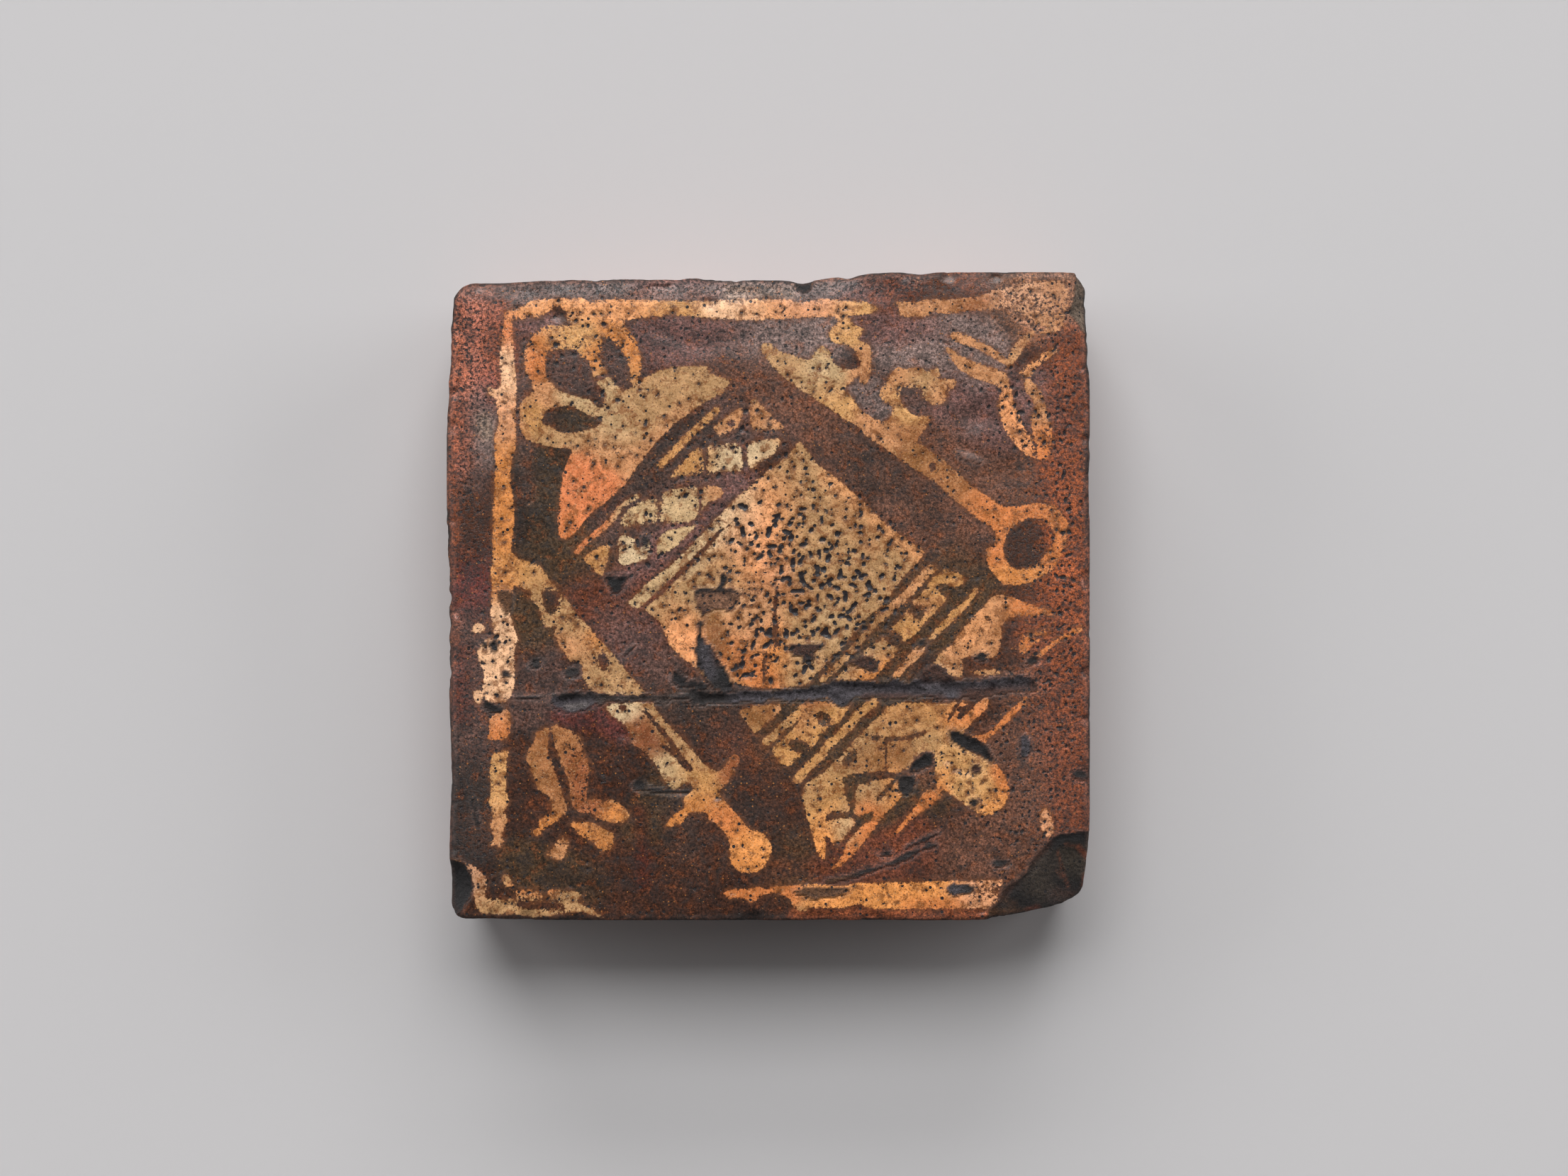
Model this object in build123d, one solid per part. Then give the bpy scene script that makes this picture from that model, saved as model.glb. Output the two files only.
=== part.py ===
"""A square floor tile of fired clay: a slab with an undercut edge, a worn arris, spalled corners and a gouge.

The origin is the middle of the bed face, which lies down. +Z is up, out of the decorated face.
+Y is the top of the face's design, and +X is its right. All sizes are in millimetres.
"""
from build123d import *
import math
import os

# Overall sizes of the slab
WIDTH = 131.0
LENGTH = 132.0
THICKNESS = 27.0

# The sides lean in towards the bed, so that mortar fits between tiles whose faces are close together.
UNDERCUT = 2.4
FACE_ARRIS_RADIUS = 1.5
BED_ARRIS_RADIUS = 0.8

# Corner radii, in plan
CORNER_RADIUS = {"south_west": 4.0, "south_east": 6.0, "north_east": 4.0, "north_west": 5.0}

# How far each edge lies inside the overall size, at even steps from one end of the side to the other
EDGE_WANDER = {
    "south": [0.5, 0.3, 0.1, 0.0, 0.0, 0.1, 0.0, 0.0, 0.1, 0.4, 1.2],
    "east": [0.5, 0.2, 0.1, 0.2, 0.1, 0.2, 0.1, 0.5, 0.0, 0.5, 0.9],
    "north": [0.1, 0.0, 0.2, 0.4, 1.4, 1.9, 1.7, 1.7, 1.7, 1.9, 2.4],
    "west": [1.1, 0.9, 0.1, 0.0, 0.4, 0.8, 0.9, 0.8, 1.1, 0.8, 0.7],
}
# Clear length between a corner's arc and the first step of its side
STEP_CLEARANCE = 4.0

# Spalls: where flakes broke off the face's edge. Each is a shallow bowl. Its centre is measured from the
# middle of the side or from the corner that it names, outwards being positive, with its radius on the
# face and its depth at the centre.
SPALLS = {
    "south_east_corner": {"side": (1, -1), "out": (0.0, 0.0), "radius": 18.0, "depth": 7.0},
    "south_west_corner": {"side": (-1, -1), "out": (0.5, -7.0), "radius": 6.0, "depth": 3.0},
    "north_east_corner": {"side": (1, 1), "out": (2.0, -7.5), "radius": 6.4, "depth": 3.0},
    "north_edge": {"side": (0, 1), "out": (7.5, 0.0), "radius": 4.0, "depth": 2.4},
}

# The gouge that crosses the face: a round-bottomed channel along these points of the face
GOUGE_DEPTH = 1.0
GOUGE_WIDTH = 2.6
GOUGE_POINTS = [(-51.0, -19.8), (-40.0, -20.6), (-26.0, -20.8), (-14.0, -19.4), (2.0, -19.6), (20.0, -18.0),
                (38.0, -18.3), (54.0, -16.6)]
# Share of the shorter run that an arc of the gouge's path takes up
GOUGE_BEND_SHARE = 0.45


def step_points(side, inset, start, end):
    """Points along one side, in order from start to end. Each lies inside the overall size by its wander."""
    wander = EDGE_WANDER[side]
    points = []
    for i, w in enumerate(wander):
        along = start + (end - start) * i / (len(wander) - 1)
        if side == "south":
            points.append((along, -LENGTH / 2 + inset + w))
        elif side == "east":
            points.append((WIDTH / 2 - inset - w, along))
        elif side == "north":
            points.append((along, LENGTH / 2 - inset - w))
        else:
            points.append((-WIDTH / 2 + inset + w, along))
    return points


def side_edge(side, inset, direction):
    """One wandering side, as a spline that leaves both of its ends straight along the side."""
    half = (WIDTH if side in ("south", "north") else LENGTH) / 2 - inset
    before, after = {
        "south": ("south_west", "south_east"),
        "east": ("south_east", "north_east"),
        "north": ("north_east", "north_west"),
        "west": ("north_west", "south_west"),
    }[side]
    sign = 1 if side in ("south", "east") else -1
    start = -sign * (half - CORNER_RADIUS[before] - STEP_CLEARANCE)
    end = sign * (half - CORNER_RADIUS[after] - STEP_CLEARANCE)
    steps = step_points(side, inset, start, end)
    reach = STEP_CLEARANCE * sign
    if side in ("south", "north"):
        first = (steps[0][0] - reach, steps[0][1])
        last = (steps[-1][0] + reach, steps[-1][1])
    else:
        first = (steps[0][0], steps[0][1] - reach)
        last = (steps[-1][0], steps[-1][1] + reach)
    return Spline([first, *steps, last], tangents=[direction, direction])


def outline(inset, height):
    """The slab's closed outline in plan at a height: four wandering sides joined by corner arcs."""
    directions = {"south": (1, 0), "east": (0, 1), "north": (-1, 0), "west": (0, -1)}
    sides = [side_edge(name, inset, direction) for name, direction in directions.items()]
    corners = []
    for here, after, direction in zip(sides, sides[1:] + sides[:1], directions.values()):
        corners.append(TangentArc([here @ 1, after @ 0], tangent=direction))
    wire = Wire(sides + corners)
    return Pos(0, 0, height) * make_face(wire)


def slab():
    """The whole slab before any damage: its face outline lofted to the smaller bed outline, arrises rounded."""
    body = loft([outline(UNDERCUT, 0), outline(0, THICKNESS)], ruled=True)
    face_edges = body.faces().sort_by(Axis.Z)[-1].edges()
    body = fillet(face_edges, FACE_ARRIS_RADIUS)
    bed_edges = body.faces().sort_by(Axis.Z)[0].edges()
    return fillet(bed_edges, BED_ARRIS_RADIUS)


def spall(side, out, radius, depth):
    """The ball that a spall's bowl is cut with, from the bowl's radius on the face and its depth."""
    rise = (radius ** 2 - depth ** 2) / (2 * depth)
    x = side[0] * WIDTH / 2 + (side[0] or 1) * out[0]
    y = side[1] * LENGTH / 2 + (side[1] or 1) * out[1]
    return Pos(x, y, THICKNESS + rise) * Sphere(rise + depth)


def gouge():
    """The channel's cutter: a disc carried along the gouge's path, with a ball at each end."""
    half_width = GOUGE_WIDTH / 2
    radius = (half_width ** 2 + GOUGE_DEPTH ** 2) / (2 * GOUGE_DEPTH)
    level = THICKNESS + radius - GOUGE_DEPTH
    points = [Vector(x, y, level) for x, y in GOUGE_POINTS]
    bends = []
    for before, here, after in zip(points, points[1:], points[2:]):
        turn = math.radians((here - before).get_angle(after - here))
        shorter = min((here - before).length, (after - here).length)
        bends.append(GOUGE_BEND_SHARE * shorter / math.tan(turn / 2))
    path = FilletPolyline(*points, radius=bends)
    section = Plane(origin=path @ 0, z_dir=path % 0) * Circle(radius)
    channel = sweep(section, path=path)
    ends = [Pos(*points[0]) * Sphere(radius), Pos(*points[-1]) * Sphere(radius)]
    return channel + ends


def tile():
    """The slab with its spalls and its gouge cut out, as one solid."""
    body = slab()
    for place in SPALLS.values():
        body -= spall(**place)
    return body - gouge()


os.makedirs("parts", exist_ok=True)
piece = tile()
piece.label = "tile"
export_step(piece, "parts/tile.step")
print("tile: volume", round(piece.volume / 1000, 1), "cm3, box", piece.bounding_box())
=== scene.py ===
# %% [markdown]
# # A floor tile of red clay, inlaid with pale slip
# The tile is a slab of fired clay, about 131 mm square and 27 mm thick. A carved wooden stamp was pressed
# into the soft clay, its hollows were filled with white slip, and a lead glaze was fired over both. Feet,
# frost and a blade have pitted, chipped and gouged it since. Everything here is one closed mesh in the
# CAD's own frame: the origin is the middle of the bed, +Z comes out of the decorated face, and +Y is the
# top of its design.

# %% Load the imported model
import itertools
import math

import bpy
import numpy as np
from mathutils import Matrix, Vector


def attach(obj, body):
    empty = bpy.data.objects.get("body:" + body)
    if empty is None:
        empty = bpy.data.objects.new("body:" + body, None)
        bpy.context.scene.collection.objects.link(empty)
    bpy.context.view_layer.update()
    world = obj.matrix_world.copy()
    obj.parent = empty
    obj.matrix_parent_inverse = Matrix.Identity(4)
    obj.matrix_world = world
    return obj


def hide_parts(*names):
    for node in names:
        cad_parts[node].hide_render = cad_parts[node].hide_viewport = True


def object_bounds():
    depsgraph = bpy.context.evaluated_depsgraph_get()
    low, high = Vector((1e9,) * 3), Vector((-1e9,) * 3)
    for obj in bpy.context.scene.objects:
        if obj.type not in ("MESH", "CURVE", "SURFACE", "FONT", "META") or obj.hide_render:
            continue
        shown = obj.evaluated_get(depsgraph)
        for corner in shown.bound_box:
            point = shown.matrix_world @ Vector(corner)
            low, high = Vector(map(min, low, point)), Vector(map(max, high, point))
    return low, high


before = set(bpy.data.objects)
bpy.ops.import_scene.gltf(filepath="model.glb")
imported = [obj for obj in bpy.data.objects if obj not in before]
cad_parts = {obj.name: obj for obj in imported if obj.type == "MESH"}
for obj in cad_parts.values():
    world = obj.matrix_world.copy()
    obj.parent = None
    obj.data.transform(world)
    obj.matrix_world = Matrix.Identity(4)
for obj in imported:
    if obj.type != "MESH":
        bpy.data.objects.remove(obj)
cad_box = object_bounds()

tile_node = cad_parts["tile"]
low, high = (np.array(corner) * 1000 for corner in cad_box)
print("CAD box in mm:", low.round(2), high.round(2))

# %% [markdown]
# ## Unevenness
# Clay, glaze and wear are never even, and all of it comes from one source: value noise. Random numbers sit
# on a lattice, and a point between them blends its eight neighbours. Adding finer and weaker layers gives
# the look of a natural surface. The numbers come from a fixed seed, so that the tile is the same each time.

# %% Noise
SEED = 1407
LATTICE_SIDE = 64
lattice = np.random.default_rng(SEED).uniform(-1.0, 1.0, (LATTICE_SIDE,) * 3)


def unevenness(points, cell, layers=3, shift=0.0):
    """Value noise from about -1 to 1. Each layer has half the last one's cell and half its strength."""
    total = np.zeros(len(points))
    for layer in range(layers):
        place = points * (2**layer / cell) + shift + 17.3 * layer
        base = np.floor(place).astype(int)
        part = place - base
        part = part * part * (3 - 2 * part)
        for corner in itertools.product((0, 1), repeat=3):
            weight = np.where(corner, part, 1 - part).prod(axis=1)
            spot = (base + corner) % LATTICE_SIDE
            total += weight * lattice[spot[:, 0], spot[:, 1], spot[:, 2]] / 2**layer
    return total


print("noise:", lattice.size, "random numbers on a lattice")

# %% [markdown]
# Three small measures serve everything below: a smooth step from 0 to 1, the distance to a straight line,
# and the distance to a run of lines.

# %% Smooth step and distances
def ramp(start, end, value):
    """Smooth step: 0 before start, 1 after end, and 3t^2 - 2t^3 between them. Start may be the larger one."""
    t = np.clip((value - start) / (end - start), 0.0, 1.0)
    return t * t * (3 - 2 * t)


def line_distance(points, start, end):
    """Distance in plan from each point to the straight line between start and end."""
    start = np.array(start, float)
    along = np.array(end, float) - start
    reach = points[:, :2] - start
    share = np.clip(reach @ along / max(along @ along, 1e-9), 0, 1)
    return np.hypot(*(reach - share[:, None] * along).T)


def path_distance(points, path):
    """Distance in plan from each point to a run of straight lines."""
    return np.min([line_distance(points, a, b) for a, b in zip(path, path[1:])], axis=0)


print("smooth step halfway:", ramp(0.0, 1.0, 0.5))

# %% [markdown]
# ## The slab's outline
# Tiles were cut round a board with a knife and then dried, so that no side is straight. The CAD has that
# outline already. It is read off the CAD mesh with a cut at half height, as a radius for each direction,
# and grows from there to the face because the sides lean in towards the bed.

# %% Read the outline off the CAD
HALF = 65.5
THICKNESS = 27.0
UNDERCUT = 2.4
CUT_HEIGHT = 13.5
SAME_POINT = 0.01
STEPS_BETWEEN = 24


def narrowing(height):
    """Share of the face's size that the slab has at a height: the sides lean in evenly towards the bed."""
    return 1 - UNDERCUT * (1 - height / THICKNESS) / HALF


mesh = tile_node.data
corner_xyz = np.empty(len(mesh.vertices) * 3)
mesh.vertices.foreach_get("co", corner_xyz)
corner_xyz = corner_xyz.reshape(-1, 3) * 1000
mesh.calc_loop_triangles()
triangles = np.empty(len(mesh.loop_triangles) * 3, int)
mesh.loop_triangles.foreach_get("vertices", triangles)
sides = corner_xyz[triangles.reshape(-1, 3)]
starts, ends = sides.reshape(-1, 3), np.roll(sides, -1, axis=1).reshape(-1, 3)
crosses = (starts[:, 2] > CUT_HEIGHT) != (ends[:, 2] > CUT_HEIGHT)
starts, ends = starts[crosses], ends[crosses]
share = (CUT_HEIGHT - starts[:, 2]) / (ends[:, 2] - starts[:, 2])
cut = (starts + share[:, None] * (ends - starts))[:, :2]
cut = cut[np.argsort(np.arctan2(cut[:, 1], cut[:, 0]))]
cut = cut[np.r_[True, np.hypot(*np.diff(cut, axis=0).T) > SAME_POINT]]
steps = np.linspace(0, 1, STEPS_BETWEEN, endpoint=False)[None, :, None]
cut = (cut[:, None] + steps * (np.roll(cut, -1, 0) - cut)[:, None]).reshape(-1, 2)
cut_angle = np.arctan2(cut[:, 1], cut[:, 0])
cut_order = np.argsort(cut_angle)
cut_angle = cut_angle[cut_order]
cut_radius = np.hypot(*cut.T)[cut_order] / narrowing(CUT_HEIGHT)
print("outline: radius", cut_radius.min().round(1), "to", cut_radius.max().round(1), "mm")

# %% [markdown]
# Everything on the tile is laid out on a plain square first. This step then moves each point of the square
# towards or away from the middle, so that the square's edge lands on the outline that was read.

# %% Fit a square to the outline
BLEND = 14.0


def to_outline(square):
    """Moves points of a square out or in along their own direction, so that the square's edge lands on the
    slab's outline. Points more than BLEND inside the edge stay."""
    size = np.abs(square).max(axis=1)
    angle = np.arctan2(square[:, 1], square[:, 0])
    on_edge = HALF * np.hypot(*square.T) / np.maximum(size, 1e-9)
    ratio = np.interp(angle, cut_angle, cut_radius, period=2 * math.pi) / np.maximum(on_edge, 1e-9)
    return square * (1 + (ratio - 1) * ramp(HALF - BLEND, HALF, size))[:, None]


east = to_outline(np.array([[HALF, 0.0]]))
print("the middle of the east side is at", east.round(2), "mm")

# %% [markdown]
# ## The grid of the face
# The face is a grid of two numbers, one across and one up, which is the easiest surface to work on with
# whole arrays. Its cells are about 0.47 mm. The six outermost rows bunch up along a quarter circle, which
# rounds the arris, the worn edge between the face and the sides.

# %% Lay out the face
CELLS = 282
ARRIS_ROWS = 6
ARRIS_RADIUS = 1.1
FACE_LEVEL = 26.72

quarter = np.arange(ARRIS_ROWS) / ARRIS_ROWS * math.pi / 2
edge_inset = ARRIS_RADIUS * (1 - np.cos(quarter))
edge_drop = ARRIS_RADIUS * (1 - np.sin(quarter))
middle = np.linspace(-(HALF - ARRIS_RADIUS), HALF - ARRIS_RADIUS, CELLS - 2 * ARRIS_ROWS + 1)
stations = np.r_[-HALF + edge_inset, middle, (HALF - edge_inset)[::-1]]
across, up = np.meshgrid(stations, stations)
face_square = np.c_[across.ravel(), up.ravel()]
face_plan = to_outline(face_square)
inset = HALF - np.abs(face_square).max(axis=1)
arris_drop = np.interp(inset, np.r_[edge_inset, ARRIS_RADIUS], np.r_[edge_drop, 0.0])
face = np.c_[face_plan, np.full(len(face_plan), 0.0)]
print("face grid:", len(face), "points,", round(stations[10] - stations[9], 2), "mm apart")

# %% [markdown]
# ## The stamped design
# Each patch of slip is an outline of points in mm from the tile's middle. A closed Catmull-Rom curve rounds
# it, as a knife and wet clay would. The mesh can't carry edges that fine, so each point of the face gets a
# number instead: how far inside the slip it is, or minus how far outside. The material draws the edge where
# that number crosses zero, sharper than the grid, and can also tint the slip's rim.

# %% Distance inside an outline
FAR = 4.0


def rounded(outline, steps=3, pull=0.4):
    """Closed curve through the points: a cubic between each pair, which leaves each point along the line
    between its two neighbours. Less pull gives sharper corners."""
    here = np.array(outline, float)
    after, before = np.roll(here, -1, 0), np.roll(here, 1, 0)
    leaving = pull * (after - before)
    t = (np.arange(steps) / steps)[None, :, None]
    cubic = ((2 * t**3 - 3 * t**2 + 1) * here[:, None] + (t**3 - 2 * t**2 + t) * leaving[:, None]
             + (3 * t**2 - 2 * t**3) * after[:, None] + (t**3 - t**2) * np.roll(leaving, -1, 0)[:, None])
    return cubic.reshape(-1, 2)


def inside(points, outline, smooth=True):
    """Distance in plan from each point to a closed outline, positive inside, cut off at -FAR outside. A point
    is inside when a line from it towards +X crosses the outline an odd number of times."""
    path = rounded(outline) if smooth else np.array(outline, float)
    result = np.full(len(points), -FAR)
    near = ((points[:, :2] > path.min(0) - FAR) & (points[:, :2] < path.max(0) + FAR)).all(axis=1)
    some = points[near]
    distance = np.full(len(some), np.inf)
    odd = np.zeros(len(some), bool)
    for a, b in zip(path, np.roll(path, -1, 0)):
        distance = np.minimum(distance, line_distance(some, a, b))
        if a[1] != b[1]:
            level = (some[:, 1] > a[1]) != (some[:, 1] > b[1])
            odd ^= level & (some[:, 0] < a[0] + (some[:, 1] - a[1]) * (b[0] - a[0]) / (b[1] - a[1]))
    result[near] = np.where(odd, distance, np.maximum(-distance, -FAR))
    return result


def laid(outlines, bare=(), lines=(), cuts=(), fuller=0.0):
    """Slip of several outlines and lines joined, without the bare places and cuts in it, and then fuller all
    round. A line or cut is (width, point, point, ...)."""
    slip = np.full(len(face), -FAR)
    for outline in outlines:
        slip = np.maximum(slip, inside(face, outline))
    for width, *path in lines:
        slip = np.maximum(slip, width / 2 - path_distance(face, path))
    for outline in bare:
        slip = np.minimum(slip, -inside(face, outline))
    for width, *path in cuts:
        slip = np.minimum(slip, path_distance(face, path) - width / 2)
    return slip + fuller


def covered(name, field):
    """Prints how much of the face a patch covers."""
    print(name, "covers", round(100 * (field > 0).mean(), 1), "% of the face")


covered("a square of 10 mm", inside(face, [(-5, -5), (5, -5), (5, 5), (-5, 5)], smooth=False))

# %% [markdown]
# The border runs along three sides of the face and is worn through in places.

# %% Border
border = laid([
    [(-53.5, 57.8), (-50.4, 58.7), (-49, 59.6), (-47.3, 60.2), (-43.6, 60.4), (-37.7, 60.4), (-36, 59.5),
     (-34.3, 60.2), (-22, 60.1), (-10.7, 60), (-6.2, 60.4), (0.6, 60.4), (7.6, 59.9), (11.9, 60.4),
     (17.5, 59.9), (20, 59.6), (22.2, 58.6), (22.2, 58), (20, 57.2), (13, 56.8), (4.8, 56.4),
     (0.6, 56.1), (-6.2, 56.1), (-12.7, 56.4), (-19.2, 57.1), (-22, 56.8), (-29.5, 56.1), (-33, 56),
     (-36.5, 55), (-38, 55), (-40, 55.2), (-40.8, 56), (-41.2, 58), (-43.8, 58.3), (-45, 57.6),
     (-46.5, 56.8), (-48, 56.6), (-50, 56), (-52, 56), (-51.6, 49), (-51.2, 44.4), (-51.3, 37.4),
     (-51.2, 30.3), (-51.8, 28.6), (-52.3, 26), (-52.3, 23), (-51.6, 17.8), (-51.9, 12.1), (-52.3, 9),
     (-52.5, 3), (-52.9, -2), (-51.8, -5.9), (-50.8, -9), (-51.5, -10.4), (-51.6, -17.5), (-52, -19.7),
     (-53.2, -21.4), (-56.3, -21.7), (-57.7, -20.3), (-58, -18.1), (-57.7, -15.8), (-58.8, -13),
     (-59.2, -11.3), (-58.3, -9.9), (-57.1, -8.7), (-55.7, -8.2), (-56.1, -5.9), (-56.3, -3.9), (-56, 2),
     (-56, 14), (-55.7, 23), (-55.4, 27.5), (-55.7, 32.3), (-55, 34), (-55.2, 39.9), (-56, 40.1),
     (-56.7, 41.2), (-56.8, 42.5), (-55.2, 42), (-54.3, 43.6), (-54.6, 48.9), (-53.7, 54.9)],
    [(26.1, 59.7), (29.8, 59.7), (32.3, 60.2), (38.2, 60.5), (42, 60.6), (45, 61.9), (50, 63.2),
     (55, 63.9), (60, 63.8), (61.3, 60), (61, 57), (59.7, 54.6), (58, 53.5), (54.9, 53.2), (56.3, 54.4),
     (54.6, 55.2), (51.2, 56.8), (49.2, 58), (47.3, 58.3), (43.3, 58), (39.9, 57.8), (37.1, 57.3),
     (33.4, 57.7), (32, 56.8), (27.2, 56.8), (26.4, 58.5)],
    [(-53, -22.9), (-55.7, -24.1), (-56.8, -24.7), (-56.8, -27.8), (-56.9, -29.1), (-54.6, -29.2),
     (-53.2, -29.1), (-52.5, -26.9), (-52.3, -25.5)],
    [(-56.1, -32), (-54.9, -31.7), (-52.9, -31.4), (-53.2, -33.9), (-53.2, -39.9), (-52.7, -41.6),
     (-53.5, -43.6), (-52.9, -45.6), (-53.9, -47.8), (-54, -50.9), (-55.4, -50.5), (-56.6, -50.5),
     (-55.7, -49.1), (-56.4, -47), (-56.1, -43.7), (-56.9, -41.8), (-56.3, -39.9), (-56.6, -35.1),
     (-56.3, -33.4)],
    [(-9.2, -60.2), (-8.5, -59.7), (-4.8, -59.4), (-1.1, -59), (-0.7, -59.7), (1.4, -58.8), (5.1, -58.8),
     (9.6, -58.5), (14.7, -58.8), (18.9, -58.3), (30, -58), (39.9, -57.8), (46.7, -57.7), (47.5, -58.1),
     (46.7, -59.7), (46.7, -61.4), (45, -63.2), (43.9, -63.5), (35.7, -63.4), (27.2, -63.5),
     (20.6, -63.4), (18.6, -62.5), (15.8, -63.2), (11.8, -63.3), (8.7, -63.2), (6.8, -64.2),
     (5.1, -63.1), (4.4, -61.5), (1.7, -60.4), (-1.3, -60.7), (-3.2, -62.2), (-6.2, -61.1),
     (-8.2, -61.4)],
    [(-63.9, -53.5), (-60.9, -54.5), (-59.1, -55.4), (-57.3, -57.4), (-57.4, -59.9), (-57.7, -60.9),
     (-56.8, -61.4), (-51.8, -61.4), (-51.3, -59.9), (-50.1, -59.7), (-46.7, -59.7), (-46.1, -60.8),
     (-44.7, -61.2), (-44.4, -59.7), (-38.8, -60.1), (-37.7, -60.5), (-38.8, -61.9), (-36, -63.6),
     (-33.1, -65.3), (-36, -64.7), (-38.8, -64), (-47.5, -65.2), (-51.5, -64.5), (-57.6, -64.5),
     (-59.4, -63), (-59.8, -60.5), (-60.9, -58.3), (-60.2, -56.3), (-61.6, -55)],
    [(-53.7, -56.8), (-52.6, -56.7), (-51.8, -59.2), (-53.2, -59.2), (-53.9, -57.7)],
    [(-60.2, -6.4), (-59, -5.4), (-57.6, -6.2), (-58.2, -7.4), (-59.6, -7.5)],
    [(-59.8, -19.4), (-58.6, -19.1), (-58, -20.4), (-58.6, -22), (-59.6, -21.2)],
    [(55.4, -43.4), (56.6, -43.2), (57.6, -45.4), (58, -48), (56.8, -49.2), (55.6, -47.6), (55.2, -45.4)],
], bare=[
    [(-44, 57.4), (-43.6, 58.9), (-42.2, 59), (-41.4, 57.5), (-41.6, 55.5), (-44, 55.5)],
    [(-51.2, -62.1), (-49.5, -61.9), (-47.8, -62.5), (-46.7, -61.9), (-42.7, -62.3), (-42.5, -63.3),
     (-47.2, -63.6), (-50.9, -63.2)],
])
covered("the border", border)

# %% [markdown]
# The bell hangs from a crown with three loops, on a plain rounded shoulder. Each part of the bell is laid
# by itself, from the crown down.

# %% Crown and shoulder
crown_and_shoulder = laid([
    [(-47.3, 53.5), (-44.4, 55.2), (-40.8, 54.9), (-37.4, 55.6), (-30, 56.4), (-29.1, 54.6),
     (-28.1, 53.7), (-26.7, 51.5), (-25.8, 48.4), (-25.8, 46.1), (-26.4, 43.8), (-23.8, 45), (-22, 46),
     (-17.8, 46.7), (-12.7, 46.7), (-11.6, 45), (-7.9, 43.9), (-8.2, 42.7), (-9.9, 41), (-13.3, 39.1),
     (-15.8, 37.4), (-19.2, 34.8), (-22, 32), (-26.4, 26.7), (-28.9, 23), (-33.7, 18.6), (-36, 16.9),
     (-39.1, 13), (-41, 11.6), (-42.5, 12.4), (-42.6, 17.8), (-41.6, 25.3), (-40.3, 28.4), (-40.2, 30),
     (-44.7, 30.3), (-48.9, 31.7), (-50.2, 33.4), (-50.6, 37.7), (-50.1, 39.6), (-47.8, 41.9),
     (-48.5, 44.4), (-49.4, 45.6), (-49.5, 49.5), (-48.7, 51.5)],
], bare=[
    [(-44.2, 49.8), (-40.8, 50.1), (-39.2, 50.1), (-38.2, 48.7), (-36.5, 47.8), (-35.4, 44.4),
     (-34, 42.2), (-33.3, 40.5), (-33.4, 38.5), (-34.6, 38.2), (-36.3, 39.9), (-40.2, 40.8), (-43, 42.2),
     (-45, 44.4), (-45.3, 47.5)],
    [(-33.4, 52), (-32, 52.3), (-30, 50.1), (-28.4, 47.3), (-27.9, 43.6), (-27.5, 42.7), (-28.4, 42),
     (-29.8, 41.9), (-32, 44.2), (-33.9, 47.5), (-34.1, 49.5)],
    [(-44.7, 37.9), (-41.6, 38.6), (-39.9, 38.5), (-36.5, 36.8), (-33.7, 36), (-34.6, 34.6),
     (-37.4, 33.6), (-41.6, 33), (-44.4, 34.6), (-45.7, 34.8), (-45.8, 36.3)],
], cuts=[
    (0.9, (-34.8, 44.2), (-33.4, 44.7), (-32.2, 44.9)),
])
covered("the crown", crown_and_shoulder)

# %% [markdown]
# Below the shoulder runs a band of trellis: squares of slip with bars of bare clay between them.

# %% Trellis
trellis = laid([
    [(-3.9, 38.8), (-3.4, 39.8), (-2.5, 39.9), (1.1, 36.1), (2.8, 34.6), (3, 33.9), (-1.7, 33.6),
     (-3.4, 34.1)],
    [(-5.8, 38.2), (-5.1, 37.4), (-6.2, 34.3), (-10, 32.7), (-10.7, 33.4), (-11, 34.4), (-8.2, 36.8)],
    [(-11.6, 30.6), (-6.8, 31), (-5.7, 30.3), (-5.4, 28.4), (-5.6, 25.3), (-9.3, 25.3), (-12.4, 24.8),
     (-12.4, 29.8)],
    [(-3.8, 31.2), (0.6, 31.9), (2.5, 31.7), (1.1, 28.9), (-1.7, 27.2), (-2.5, 26.4), (-3.7, 25.8),
     (-4.4, 29.5)],
    [(-13.5, 29.8), (-13.5, 25), (-18.3, 24.4), (-19.9, 24.1), (-16.4, 28.4), (-15, 29.8)],
    [(-30, 14.9), (-28.4, 17.6), (-25.4, 19.3), (-22.7, 19.8), (-22.7, 15.2), (-26.9, 14.4),
     (-29.5, 14.1)],
    [(-21.8, 19.3), (-21, 21.1), (-17, 22.2), (-14.4, 22), (-14.2, 17), (-16.1, 15.1), (-21.8, 15.1)],
    [(-13.5, 22), (-10.8, 22.4), (-9.1, 21.1), (-9.9, 19.8), (-12.2, 18.9), (-13.5, 17.5)],
    [(-30, 12.7), (-29.2, 13), (-27.5, 11.6), (-24.4, 11.6), (-24, 8.7), (-25, 7.6), (-28.9, 6.2),
     (-30.2, 6.6), (-30.5, 10.7)],
    [(-22.3, 11.8), (-20.1, 13.4), (-16.1, 14.3), (-14.8, 14.3), (-18.8, 10.1), (-22.5, 8.3)],
    [(-32.3, 10.7), (-32.2, 9.3), (-33.4, 5.1), (-34, 4.1), (-37.4, 7.3), (-37.1, 8.2), (-34.6, 9.9)],
], bare=[
    [(-7.5, 35.8), (-6.7, 35), (-7.5, 34.2), (-8.3, 35)],
    [(-26, 12.2), (-24.8, 11.1), (-26, 9.9), (-27.2, 11.1)],
], lines=[
    (1.4, (-10.5, 37.7), (-13.2, 35.3), (-15.9, 32.8), (-18.2, 30.4), (-22, 26.5)),
    (1.0, (-29.5, 18.6), (-26.7, 20.2)),
    (1.2, (-30.3, 17.8), (-31.7, 15.7), (-33.4, 14), (-35.2, 12.5), (-37.1, 11), (-38.9, 9)),
])
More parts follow.
